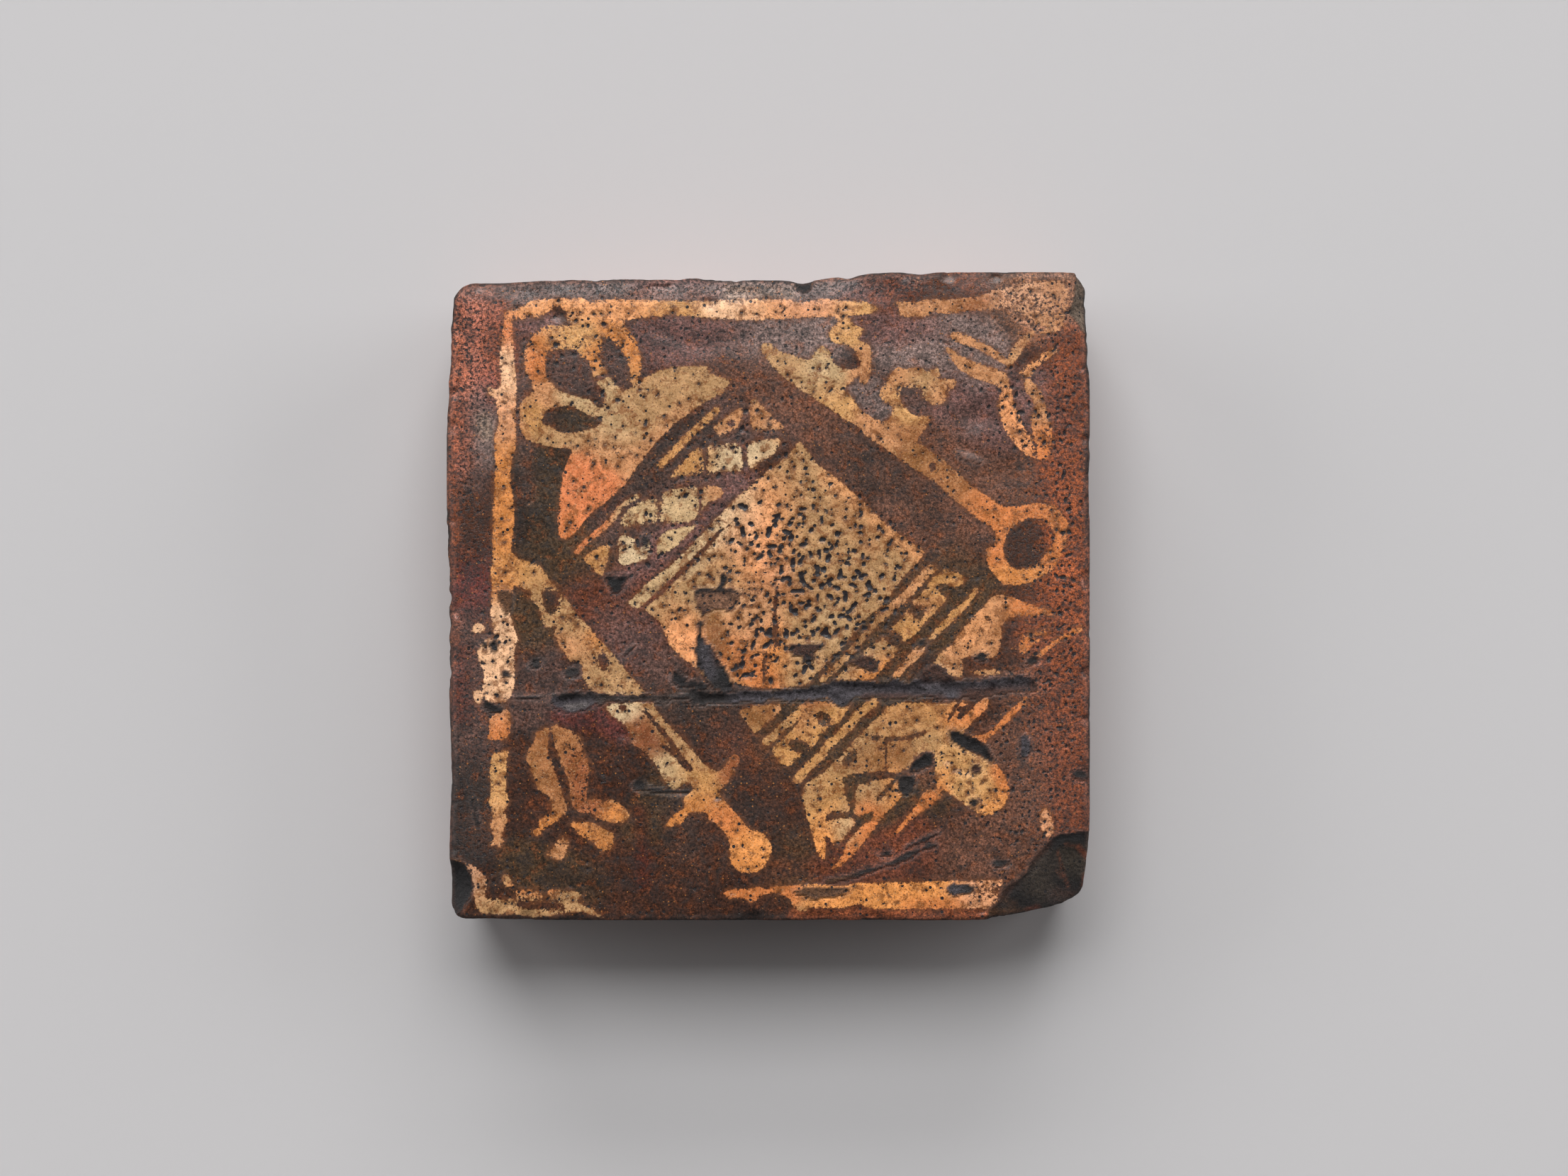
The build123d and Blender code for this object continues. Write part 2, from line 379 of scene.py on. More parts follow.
covered("the trellis", trellis)

# %% [markdown]
# The waist is the largest patch of slip. A bare line follows its upper left edge, and two cracks run down
# from its middle.

# %% Waist
waist = laid([
    [(-28.4, -1.7), (-27.8, -0.6), (-25.3, 2), (-22, 4.6), (-19.5, 6.6), (-16.8, 9.1), (-10.3, 16),
     (-5.5, 20.8), (-0.3, 25.3), (3.4, 28.1), (5.1, 30), (6.2, 31.2), (7, 30.6), (8.2, 29.1),
     (10.4, 26.4), (13.3, 24.4), (18.1, 20.3), (23, 15.5), (26.4, 12.7), (30.6, 9.9), (31.6, 8.7),
     (29.8, 6.2), (26.7, 3.1), (23.8, -1.4), (20.3, -4.2), (17.2, -7.9), (13.8, -11.6), (10.2, -15.2),
     (8.7, -16.6), (8, -18), (0, -18.8), (-5.1, -18.1), (-7.6, -17.8), (-9.6, -18.9), (-12.1, -17.2),
     (-14.1, -15.2), (-18.9, -11.3), (-20.3, -9.6), (-21.2, -7), (-22.5, -5), (-25, -2.7), (-26.4, -2.5)],
], cuts=[
    (0.9, (-26.5, -3), (-24.4, -1.4), (-22, 0.7), (-17, 5.5), (-14, 8.5), (-10, 13)),
    (0.3, (-10, 13), (-8, 14.4)),
    (0.8, (1.7, 1), (1.2, -3), (1.6, -10.2)),
    (0.7, (-0.6, -12), (-0.9, -17.6)),
])
covered("the waist", waist)

# %% [markdown]
# A band with round bare dots follows, between thin lines of slip. The gouge cuts it in two.

# %% Dotted band
dotted_band = laid([
    [(32.6, 3.1), (34.3, 4.5), (36.3, 5.4), (39.4, 4.2), (40, 3.7), (38.8, 2), (37.7, 1.7), (35.4, 2.5),
     (34.4, 1.7), (36.3, -0.3), (34.3, -2.8), (31.5, -5.6), (30.1, -7.6), (28.6, -8.7), (27.5, -9.3),
     (26.9, -7.9), (24.7, -6.8), (27.2, -4.5), (28.1, -2.8), (28.9, -3.7), (31.2, -2), (29.2, -1.4),
     (32, 1.4)],
    [(14, -16.4), (16, -14.4), (17.3, -13.6), (19.5, -15), (21.5, -15.6), (22.2, -15), (22.3, -13.2),
     (19.2, -11.9), (20, -10.8), (23.5, -8.5), (24.3, -9.6), (25.8, -10.3), (26.1, -11.5), (23.5, -14.5),
     (22, -16.2), (21, -16.9), (14, -17.2)],
    [(1, -31.7), (1.1, -30.8), (2.8, -29.1), (4.5, -27.5), (5.9, -25.8), (7.9, -23.4), (9, -21.4),
     (13, -21.7), (15.5, -22.4), (16.6, -22), (14.7, -25.1), (13.8, -26.1), (12.1, -26.1), (12, -27.2),
     (10.4, -28.1), (10.2, -29.2), (8.5, -30.8), (7.3, -29.3), (4.8, -29.2), (3.9, -29.8), (5.1, -31.5),
     (7, -32.2), (5.1, -33.4), (4.7, -34.3), (2.8, -34.3), (1.4, -32.7)],
], bare=[
    [(35, 2.4), (36, 2.6), (37, 1.9), (37.2, 0.9), (36.4, 0), (35.4, 0.1), (34.7, 1)],
    [(28.4, -2.6), (29.6, -1.8), (31.4, -2.2), (31.8, -3.4), (31.3, -4.7), (29.8, -4.5), (29.2, -3.6)],
    [(24.2, -8.2), (25.1, -7.7), (26, -8.2), (25.1, -8.7)],
    [(9.6, -23.9), (10.6, -23.5), (12, -23.8), (12.7, -25), (12.2, -26.1), (10.6, -26.2), (10.1, -25.2)],
    [(4, -29.6), (5.2, -29.1), (6.8, -29.2), (8.2, -30.2), (8.4, -31.2), (6.9, -31.6), (5.2, -31.1)],
], lines=[
    (1.8, (22.7, -4.4), (24.6, -2.7), (26.4, -1.2), (28.1, 0.4), (29.4, 1.7), (30.9, 3.3), (32.4, 5.2),
     (33.3, 5.4)),
    (1.2, (11, -17), (14, -14.2), (17, -11), (20, -7.5), (22.7, -4.4)),
    (1.1, (42.2, 1.2), (40.2, -1.6)),
    (1.5, (39.4, -2.2), (36.7, -4.8), (34.7, -6.8)),
    (1.0, (34.5, -6.9), (33, -8.6)),
    (1.9, (30.8, -10.8), (28.6, -13.2)),
    (1.3, (28.6, -13.2), (25.9, -16.1)),
    (1.7, (-0.4, -29.6), (0.9, -28.6), (2.6, -26.8), (4.5, -25.3), (6, -23.8), (7.9, -22.2)),
    (1.7, (5.9, -37.2), (7.3, -35.6), (8.9, -34), (10.6, -32.4), (12.4, -30), (14.2, -28.5),
     (16.2, -26.6)),
    (1.9, (16.2, -26.6), (18, -24.3), (19.8, -22.8), (21.4, -21.6)),
])
covered("the dotted band", dotted_band)

# %% [markdown]
# The bell's lip flares out and has long bare notches, and the round clapper hangs out of it.

# %% Lip and clapper
lip_and_clapper = laid([
    [(46.1, 0.3), (49.8, -0.3), (51.2, -1), (56, -2.5), (58.8, -3.7), (52.6, -4), (49.8, -4.2),
     (47.3, -5.8), (47.5, -7.5), (46.9, -11), (46.3, -12.1), (45, -12.6), (39.9, -12.3), (39.3, -13),
     (39.5, -14), (39.2, -16.6), (37.9, -16.3), (36.3, -15.7), (36.3, -14.8), (33.8, -13.8),
     (32.8, -14.1), (34, -13), (34.6, -11.8), (37.2, -10), (38.8, -7.4), (41.5, -4.5), (43.3, -2.5)],
    [(41.1, -15.2), (45.6, -14.8), (47.1, -15.6), (46.1, -15.9), (42.7, -16.1)],
    [(51.8, -7.3), (54, -7.2), (56.3, -6.6), (57.1, -7.3), (53.5, -10.2), (51.6, -12), (50.8, -9.9),
     (51.5, -8.7)],
    [(62.2, -6.5), (64.2, -6.8), (59.1, -9.3), (56.8, -11), (55.4, -12.3), (54.3, -11.8), (56.3, -10.2),
     (60.5, -7.5)],
    [(-5.8, -23.7), (-3.1, -27.5), (-2.5, -27.9), (0, -25.5), (1.4, -24.7), (2.5, -23), (2, -22),
     (-3.5, -22.3)],
    [(7.6, -38.2), (10.4, -36.4), (12.7, -34.3), (15.8, -31.2), (18.9, -27.8), (22.8, -24),
     (24.2, -22.6), (27, -21.6), (33, -21.7), (37, -21.7), (38.3, -20.9), (40.6, -21.8), (38.8, -22.6),
     (38.4, -24.6), (39.2, -25), (41.5, -22.6), (44.2, -20.6), (44.7, -22.3), (41.3, -25.7),
     (39.8, -27.4), (40, -29.5), (40.2, -31.2), (44.9, -33), (46.1, -34), (48, -36.3), (48.9, -39.6),
     (48, -42.4), (46.2, -43.8), (44.2, -44.6), (42.2, -43.9), (38.2, -41), (34.8, -38.8), (33.9, -38.2),
     (33.8, -34), (33.4, -31.8), (31.2, -31.8), (29.5, -33.2), (28.4, -35.2), (26.8, -35.9),
     (24.4, -35.6), (22, -35.6), (17.5, -36), (14.9, -37.1), (15.7, -38.8), (15.5, -39.9), (16.6, -43.6),
     (13, -43.9), (12, -44), (11.6, -45), (11.8, -45.7), (14.9, -45), (16.9, -45.3), (17.5, -46.1),
     (15.8, -48.5), (14.4, -50.2), (13.3, -50.5), (12, -48.8), (11.6, -48.9), (11.7, -50.6),
     (11.4, -53.3), (10.9, -53.6), (10, -52), (8.9, -48.4), (7.6, -43.9), (6.8, -41)],
    [(17.8, -38.8), (20.3, -37.8), (24.1, -36.9), (26.1, -37.7), (26.7, -39.6), (27.2, -40.5),
     (24.1, -44), (22, -46.4), (21.2, -47.8), (18.9, -50.6), (17.3, -52.5), (14.9, -54.6), (13, -55.6),
     (12.8, -55.2), (14.9, -53), (16.1, -49.8), (19.7, -46.1), (20.9, -45.3), (21.4, -43.6),
     (18.6, -44.7), (17.5, -44), (17.5, -42.7)],
    [(52.6, -20.9), (52, -22), (50.5, -23.6), (47.8, -26.3), (44.5, -29), (44.2, -30), (41, -28.3),
     (44, -28), (47, -25.6), (48.5, -23.6), (50.3, -22.2), (52, -20.6)],
    [(34.6, -39.2), (33, -39.2), (31.6, -40), (29.9, -42.4), (27.6, -45.4), (25.6, -48), (26.6, -47.9),
     (29, -45.4), (32.6, -42.8), (35.3, -40.4)],
], bare=[
    [(42.4, -12.4), (43.4, -11.7), (44.2, -12), (43.2, -12.7)],
    [(54.5, -8.5), (55, -7.9), (55.5, -8.5), (55, -9)],
    [(23.8, -28.6), (28.1, -28.4), (30.9, -27.4), (32.3, -27.2), (31.5, -28.1), (28.1, -29.2),
     (23.8, -29.6)],
    [(14.9, -33.9), (15.1, -33), (17.5, -31.2), (18, -32.3), (17.5, -33.4), (16.1, -34.3)],
    [(20.6, -29), (21.8, -28), (23, -28.7), (22, -29.6)],
], cuts=[
    (0.5, (44.1, -4), (45.4, -5.6)),
    (0.8, (22.4, -41.2), (25, -38.2), (27.8, -35.4)),
    (0.5, (23.8, -29), (24, -35.4)),
    (0.7, (39.4, -20.4), (37.6, -23.2), (36.6, -25)),
])
covered("the lip and the clapper", lip_and_clapper)

# %% [markdown]
# The key lies across the top right, with its bit at the left end and its ring at the right. It is laid 0.1
# mm fuller than its outline, which was placed just inside the slip's edge.

# %% Key
key = laid([
    [(-1.4, 50.1), (-1.1, 51.2), (0.6, 51.1), (2, 49.8), (4.8, 48.9), (8.2, 47.8), (9, 48.9),
     (10.9, 50.8), (12.8, 49.2), (13, 47.5), (15.5, 46), (17.5, 46), (18.6, 46.7), (18.6, 47.8),
     (17.5, 50.1), (16.1, 50.9), (13.5, 51.5), (12.3, 53.5), (14.4, 55.7), (13.8, 56.6), (15.8, 57.1),
     (17.5, 54.9), (19.2, 54.3), (18.3, 51.8), (20, 51.2), (20.9, 49.5), (20.6, 45), (19.7, 43),
     (18.6, 43.6), (18.1, 44.7), (16.1, 43), (14.7, 41.9), (16.1, 41.3), (18.1, 38.5), (19.7, 37.1),
     (22.5, 35.4), (24.3, 35.8), (25.2, 37), (25.4, 38.4), (23.7, 39.5), (22.5, 41.1), (24.2, 43.9),
     (26.2, 46.4), (27.2, 46), (31.2, 46.4), (31.7, 45.6), (34.3, 46.1), (34.8, 45), (34.3, 44.2),
     (37.7, 43.9), (37.7, 42.5), (36.5, 41.6), (36, 39.9), (34.3, 38.9), (32.6, 39.4), (31.2, 40.8),
     (31.2, 41.9), (28.1, 42.7), (26.8, 41.9), (26.7, 39.9), (28.4, 37.4), (30.1, 36.5), (32.7, 36.3),
     (32.3, 34.8), (30.1, 31.7), (31.7, 30.3), (35.4, 27.5), (39.6, 23.8), (42.7, 21.4), (45.3, 19.7),
     (48.1, 18.1), (52.9, 18.5), (55.7, 18.9), (58, 18.2), (60.2, 15.8), (60.9, 14.1), (60, 9.9),
     (58, 5.9), (54.9, 3.7), (51.5, 2.4), (49, 2.4), (47.5, 2.8), (44.7, 6.2), (44.4, 9.6), (46, 10.2),
     (46.1, 13.3), (42.7, 15.8), (37.1, 20.3), (34.3, 23), (29.8, 25.8), (25.3, 28.9), (22, 31.2),
     (19.7, 32.9), (18.1, 34.6), (15.5, 36), (11.9, 38.5), (7.3, 41.6), (3.4, 44.2), (-0.3, 48.1)],
], bare=[
    [(50.6, 14.7), (52.3, 15.8), (55.2, 15.8), (58, 13.5), (58.1, 11.3), (56, 7.9), (54.3, 6.2),
     (51.8, 5.4), (49.2, 5.9), (47.5, 9.3), (48.7, 13.3)],
    [(32.4, 26.6), (33.6, 27.4), (34.2, 26), (33.2, 25.1)],
], fuller=0.1)
covered("the key", key)

# %% [markdown]
# The sword's blade runs up to the left from its round pommel, and the gouge crosses it. A line of bare clay
# runs along the blade.

# %% Sword
sword = laid([
    [(-52.3, 9), (-50.4, 7.6), (-46.7, 6.2), (-44.4, 3.4), (-41.6, 0), (-38.8, -3.7), (-35.3, -7.6),
     (-31.7, -11.6), (-28.9, -15), (-25.8, -18.6), (-25.3, -20.2), (-35.7, -20.2), (-36.5, -18.1),
     (-37.7, -16.6), (-37.9, -14.1), (-38.5, -13), (-40.2, -13.3), (-42.2, -10.7), (-43.6, -7.6),
     (-43, -6.2), (-45.4, -6.2), (-46.7, -2.3), (-48.7, -0.3), (-48.1, 0.6), (-51.6, 2.3), (-52, 0.6),
     (-53.5, 1.1), (-54.9, 1.1), (-56, -2), (-56, 8)],
    [(-32.7, -22), (-31.7, -24.4), (-29.2, -26.1), (-27.8, -28.6), (-27.6, -29.9), (-25.2, -31.7),
     (-23, -34), (-21.4, -37.1), (-19.5, -39.2), (-18.3, -39.2), (-16.9, -38.2), (-15.9, -37.9),
     (-15.2, -39.5), (-17.1, -40.6), (-17.2, -43), (-19.2, -44.4), (-20.9, -46.7), (-18.9, -46.8),
     (-17.1, -45.6), (-15.9, -44), (-12.8, -44), (-12.1, -45.3), (-10.3, -46.4), (-8, -49.4),
     (-7.9, -52.9), (-7.7, -54), (-6.2, -55.7), (-5.1, -56.1), (-2.8, -56.1), (-0.8, -54.9), (0.6, -52),
     (0.6, -50.8), (-0.3, -48.7), (-2.3, -47.7), (-3.8, -47.4), (-6.2, -44.6), (-7.9, -42.6),
     (-10.1, -39.8), (-8.7, -38.4), (-6.9, -35.5), (-5.9, -33.3), (-6.1, -32.4), (-7.5, -32.3),
     (-8.5, -34.1), (-9.9, -35.5), (-11.6, -35.1), (-14, -33), (-16.8, -29.6), (-20.7, -25.7),
     (-23, -22.8), (-24, -21.6)],
], bare=[
    [(-45.8, 1.4), (-42.5, 0.6), (-42.8, -2.4), (-44.2, -3.8), (-45.6, -2)],
    [(-34.4, -12.2), (-33.2, -11.6), (-32.4, -13.2), (-33.4, -14.8), (-34.4, -13.8)],
    [(-22, -30), (-19.2, -31.2), (-17.5, -33.4), (-15.9, -35.8), (-17.8, -34.6), (-19.2, -32.6),
     (-21.4, -31)],
    [(-30.4, -22.6), (-29.6, -22), (-28.8, -22.6), (-29.6, -23.2)],
], cuts=[
    (0.9, (-25.2, -23.2), (-20.5, -28.8), (-15.8, -35.2)),
])
covered("the sword", sword)

# %% [markdown]
# The other two corners have a leafy sprig each, laid 0.2 mm fuller than its outlines.

# %% Sprigs
sprigs = laid([
    [(37.1, 53), (38.5, 53.5), (42.7, 51.6), (46.4, 49.5), (48, 48.2), (48.8, 48.4), (49.7, 50.1),
     (51.2, 52.3), (52.9, 53.5), (54, 53.6), (50.6, 48.9), (49, 46.8), (47.8, 47.3), (45.3, 48.9),
     (41.6, 50.8), (38, 51.8)],
    [(36, 50.4), (37.1, 50.1), (39.9, 48.1), (45, 46.4), (47, 45.7), (48.2, 44.7), (49.2, 41.6),
     (50.5, 37.4), (52.1, 33.4), (53.5, 32), (54, 30.3), (53.7, 28.4), (52.3, 28.9), (50.9, 30.3),
     (48.1, 34), (47, 38.2), (47, 40.2), (47.8, 41.6), (47, 42.7), (42.7, 44.2), (39.1, 46.1),
     (37.7, 47.8)],
    [(51.2, 45.4), (53.7, 47.5), (56.8, 49.7), (58, 50.1), (58.3, 49.5), (54.9, 47), (53.5, 45.3),
     (52.3, 44.4)],
    [(52.3, 43.6), (52.9, 43.9), (55.4, 41), (56.3, 37.7), (57.4, 34), (57.1, 30.3), (56.7, 28.2),
     (55.4, 28.1), (54, 28.4), (54.9, 30.3), (54, 32), (53.5, 36.5), (54.3, 37.9), (53.7, 39.9),
     (52.3, 42.2)],
    [(-45.3, -26.9), (-44.7, -27.2), (-44.9, -29.5), (-44.9, -32.3), (-44, -34.3), (-43, -37.1),
     (-42.2, -39.4), (-41.8, -41), (-41.1, -43.3), (-42.5, -45), (-45.3, -47), (-47, -48.5),
     (-47.8, -48), (-46.4, -47), (-46.3, -45.6), (-43.9, -43.6), (-44.2, -41.3), (-44.6, -40.2),
     (-46.3, -39.5), (-47.5, -36.8), (-48.9, -32.7), (-48.2, -30.9), (-47.2, -29.3), (-47, -28.1)],
    [(-43.9, -27.2), (-43, -26.4), (-40.2, -27.6), (-38.4, -28.8), (-37.7, -31.7), (-36.5, -34.3),
     (-36.7, -36.8), (-37.1, -39.4), (-37.1, -41), (-34.3, -41.2), (-34, -42.2), (-32, -41.5),
     (-29.8, -42.7), (-28.4, -44.6), (-30, -45.9), (-32.7, -45.6), (-36.5, -44), (-38.8, -43.3),
     (-39.9, -41.6), (-40.1, -38.8), (-40.9, -35.8), (-41.9, -34), (-42.7, -31.7), (-43.4, -29.3)],
    [(-39.9, -46.4), (-38.8, -46), (-36, -46.3), (-32, -48.1), (-31.7, -48.9), (-31.9, -51.2),
     (-33.7, -51.6), (-35.4, -49.8), (-37.7, -48.7), (-39.1, -47.4)],
    [(-41.7, -48.9), (-40.8, -50.1), (-41.3, -51.8), (-42.2, -53.4), (-44.7, -52.5), (-43.3, -50.8)],
], fuller=0.2)
motifs = [border, crown_and_shoulder, trellis, waist, dotted_band, lip_and_clapper, key, sword, sprigs]
slip = np.max(motifs, axis=0)
covered("all slip", slip)

# %% [markdown]
# ## The gouge
# A blade or a dragged stone tore a channel across the tile after it was fired. It cuts through slip and
# clay alike, so it has its own outline, which also gives its depth: steep at the rim, ragged on the floor.
# Noise in two sizes frays the rim.

# %% Gouge
GOUGE_OUTLINES = [
    [(-44.3, -21.3), (-43.7, -20), (-42, -19.8), (-38, -19.6), (-34, -20), (-30, -20), (-26, -20.2),
     (-20.5, -20.5), (-20.3, -21.4), (-24, -21.1), (-28, -21.3), (-32.2, -21.5), (-35, -22.3),
     (-37.1, -22.8), (-38.2, -22.4), (-40.3, -23.1), (-43, -22.4)],
    [(-16, -19.4), (-14.5, -18.8), (-12.4, -19.2), (-10.6, -19.6), (-8.5, -19.7), (-5.1, -19.3),
     (0, -19.2), (2, -18.8), (7.9, -18.3), (12, -17.5), (14.4, -16.8), (16.4, -17.1), (21.9, -17.2),
     (24.6, -17.4), (25.3, -16.5), (28.2, -17.9), (30, -17.2), (33, -17), (38, -17.2), (44.1, -16.9),
     (48, -16.3), (52, -16.2), (54.1, -17), (55, -17.9), (54.9, -18.6), (54, -19.3), (50, -19.7),
     (46, -20), (42.6, -20.8), (39.8, -20), (36.9, -21.5), (36, -21.5), (34, -20.9), (30, -20.4),
     (25.3, -21.1), (23.5, -21.4), (21.9, -20.6), (16.9, -21.1), (15.5, -22.2), (13.7, -22.2),
     (12, -21.3), (7.9, -21.1), (5.2, -21.3), (4, -21.5), (2, -21), (0, -21.5), (-4, -21.4), (-6, -21.9),
     (-9, -21.7), (-11.4, -21.6), (-13.6, -22), (-15, -21.2)],
]
WIDENED_LEFT = 0.2
gouge = np.max([inside(face, outline) for outline in GOUGE_OUTLINES], axis=0)
gouge += WIDENED_LEFT * ramp(-14, -24, face[:, 0])
gouge += 0.5 * unevenness(face, 3.0, 2, 7.0) + 0.35 * unevenness(face, 1.1, 2)
covered("the gouge", gouge)

# %% [markdown]
# ## Spalls
# Flakes broke off the arrises, and the largest took a corner. A spall's floor falls away from its rim along
# a shallow bowl, part of a ball that has the spall's radius and depth.

# %% Bowls of the spalls
# Each spall is its radius, its depth and its outline, which runs on past the tile's edge.
SPALLS = [
    (18.0, 7.0, [(43, -72), (44.7, -63.9), (46.4, -62.2), (48.1, -59.4), (49.5, -58.5), (51.8, -56.6),
                 (53.7, -53.5), (56, -50.6), (58, -48.5), (59.7, -48.1), (61.9, -48.1), (65.3, -47.6),
                 (85, -47), (95, -95), (43, -95)]),
    (6.0, 3.0, [(-68, -53), (-65, -53.3), (-62, -54), (-60.5, -56), (-60, -59), (-61, -62), (-63, -64.5),
                (-66, -68), (-80, -75), (-80, -53)]),
    (5.0, 2.2, [(62.4, 66), (62.4, 63.2), (61.1, 57.6), (64.6, 52.8), (72, 51), (75, 66)]),
    (3.5, 1.6, [(4.6, 66), (5, 63.6), (6, 62), (7, 61.5), (8.3, 62.4), (9.4, 64.4), (9.6, 68), (4.6, 68)]),
]
RIM_STEP = 0.35
chip = np.full(len(face), -FAR)
spall_depth = np.zeros(len(face))
frayed = 0.3 * unevenness(face, 1.6, 2)
for radius, depth, outline in SPALLS:
    inward = inside(face, outline, smooth=False) + frayed
    chip = np.maximum(chip, inward)
    ball = (radius**2 + depth**2) / (2 * depth)
    from_middle = np.clip(radius - inward, 0, radius)
    bowl = depth - (ball - np.sqrt(ball**2 - from_middle**2))
    spall_depth = np.maximum(spall_depth, np.where(inward > 0, bowl + RIM_STEP * ramp(0, 0.5, inward), 0))
print("bowls: deepest", spall_depth.max().round(1), "mm")

# %% [markdown]
# Fired clay breaks in dull facets that meet in creases. Noise can't give those, so the large break takes
# them from planes: some large ones, and many small ones at a third of their strength.

# %% Facets of the large break
BREAK_MIDDLE = np.array([57.0, -57.0])
BREAK_SPREAD = 7.0
SMALL_SHARE = 0.35
LEAST_DEPTH = 0.15


def facets(points, middle, spread, planes, slope, seed):
    """Broken surface: the highest of some random planes through the region, less the highest of some others,
    which leaves flat facets that meet in creases."""
    plane_draw = np.random.default_rng(seed)
    height = np.zeros(len(points))
    for sign in (1, -1):
        centre = middle + plane_draw.normal(0, spread, (planes, 2))
        lean = plane_draw.normal(0, slope, (planes, 2))
        level = plane_draw.normal(0, slope * spread * 0.5, planes)
        rise = ((points[:, None, :2] - centre) * lean).sum(axis=2) + level
        height += sign * rise.max(axis=1)
    return height


large_chip = inside(face, SPALLS[0][2], smooth=False) > -1
torn = face[large_chip]
break_shape = np.zeros(len(face))
break_shape[large_chip] = facets(torn, BREAK_MIDDLE, BREAK_SPREAD, planes=7, slope=0.36, seed=5)
small_facets = facets(torn, BREAK_MIDDLE, BREAK_SPREAD, planes=30, slope=0.25, seed=8)
break_shape[large_chip] += SMALL_SHARE * small_facets
break_shape += 0.2 * np.abs(unevenness(face, 2.3, 2, 9.0))
spall_depth += ramp(0.0, 2.0, chip) * np.clip(break_shape, -1.2, 2.5)
spall_depth = np.where(chip > 0, np.clip(spall_depth, LEAST_DEPTH, None), 0)
print("spalls: deepest", spall_depth.max().round(1), "mm")

# %% [markdown]
# ## Dents, scars and scratches
# The dents are smooth hollows from before the firing. Each is a bell curve, stretched and turned, which has
# no rim and blends into the clay. One is a low bump instead, with a depth below zero.

# %% Dents
# Each dent is x, y, half length, half width, turn in degrees and depth, all in mm but the turn.
DENTS = [
    (-18.4, -16, 2.2, 1.0, -20, 0.5), (-47.6, -13.2, 1.3, 1.1, 0, 0.6), (-39.4, -13.8, 1.3, 0.9, 0, 0.8),
    (-39.8, -15.3, 1.6, 1.1, 0, 0.7), (42, 36, 3.5, 2.6, 0, 0.5), (41, 29.5, 3.2, 1.0, -25, 0.5),
    (-26, -38, 1.6, 1.2, 0, 0.6), (-29.5, -28, 1.3, 1.2, 0, 0.4), (47.5, -54, 2.0, 0.8, -15, 0.5),
    (23.5, -52.3, 1.6, 0.6, -20, 0.5), (-12, 59.3, 1.4, 1.2, 0, 0.4), (-42.8, 57.2, 1.6, 1.6, 0, 0.6),
    (36.3, -33.1, 1.0, 1.0, 0, 0.5), (38.5, -34.7, 1.0, 1.0, 0, 0.5), (41, -35.3, 1.1, 1.0, 0, 0.5),
    (18, -18.3, 4, 1.0, 0, 0.5), (53.9, -12.8, 1.3, 0.7, -20, 0.6), (30.9, -9.6, 1.0, 1.0, 0, 0.5),
    (-10.6, -40.5, 1.0, 1.0, 0, 0.4), (11, -24.9, 1.6, 1.5, 0, 0.4), (-18.5, -39.6, 2.8, 0.7, 0, 0.4),
    (63.5, -36, 1.6, 1.3, 0, 0.5), (-46, 52.5, 2, 1.5, 0, -0.25), (-8, 52, 9, 2.5, 5, 0.35),
    (-20, 53, 6, 1.5, -20, 0.3), (48, 26, 6, 4, 20, 0.4),
]
dent_depth = np.zeros(len(face))
for x, y, length, width, turn, depth in DENTS:
    angle = math.radians(turn)
    axes = np.array([[math.cos(angle), -math.sin(angle)], [math.sin(angle), math.cos(angle)]])
    turned = (face[:, :2] - (x, y)) @ axes
    dent_depth += depth * np.exp(-((turned / (length, width)) ** 2).sum(axis=1))
print("dents:", len(DENTS), "and the deepest point is", dent_depth.max().round(2), "mm down")
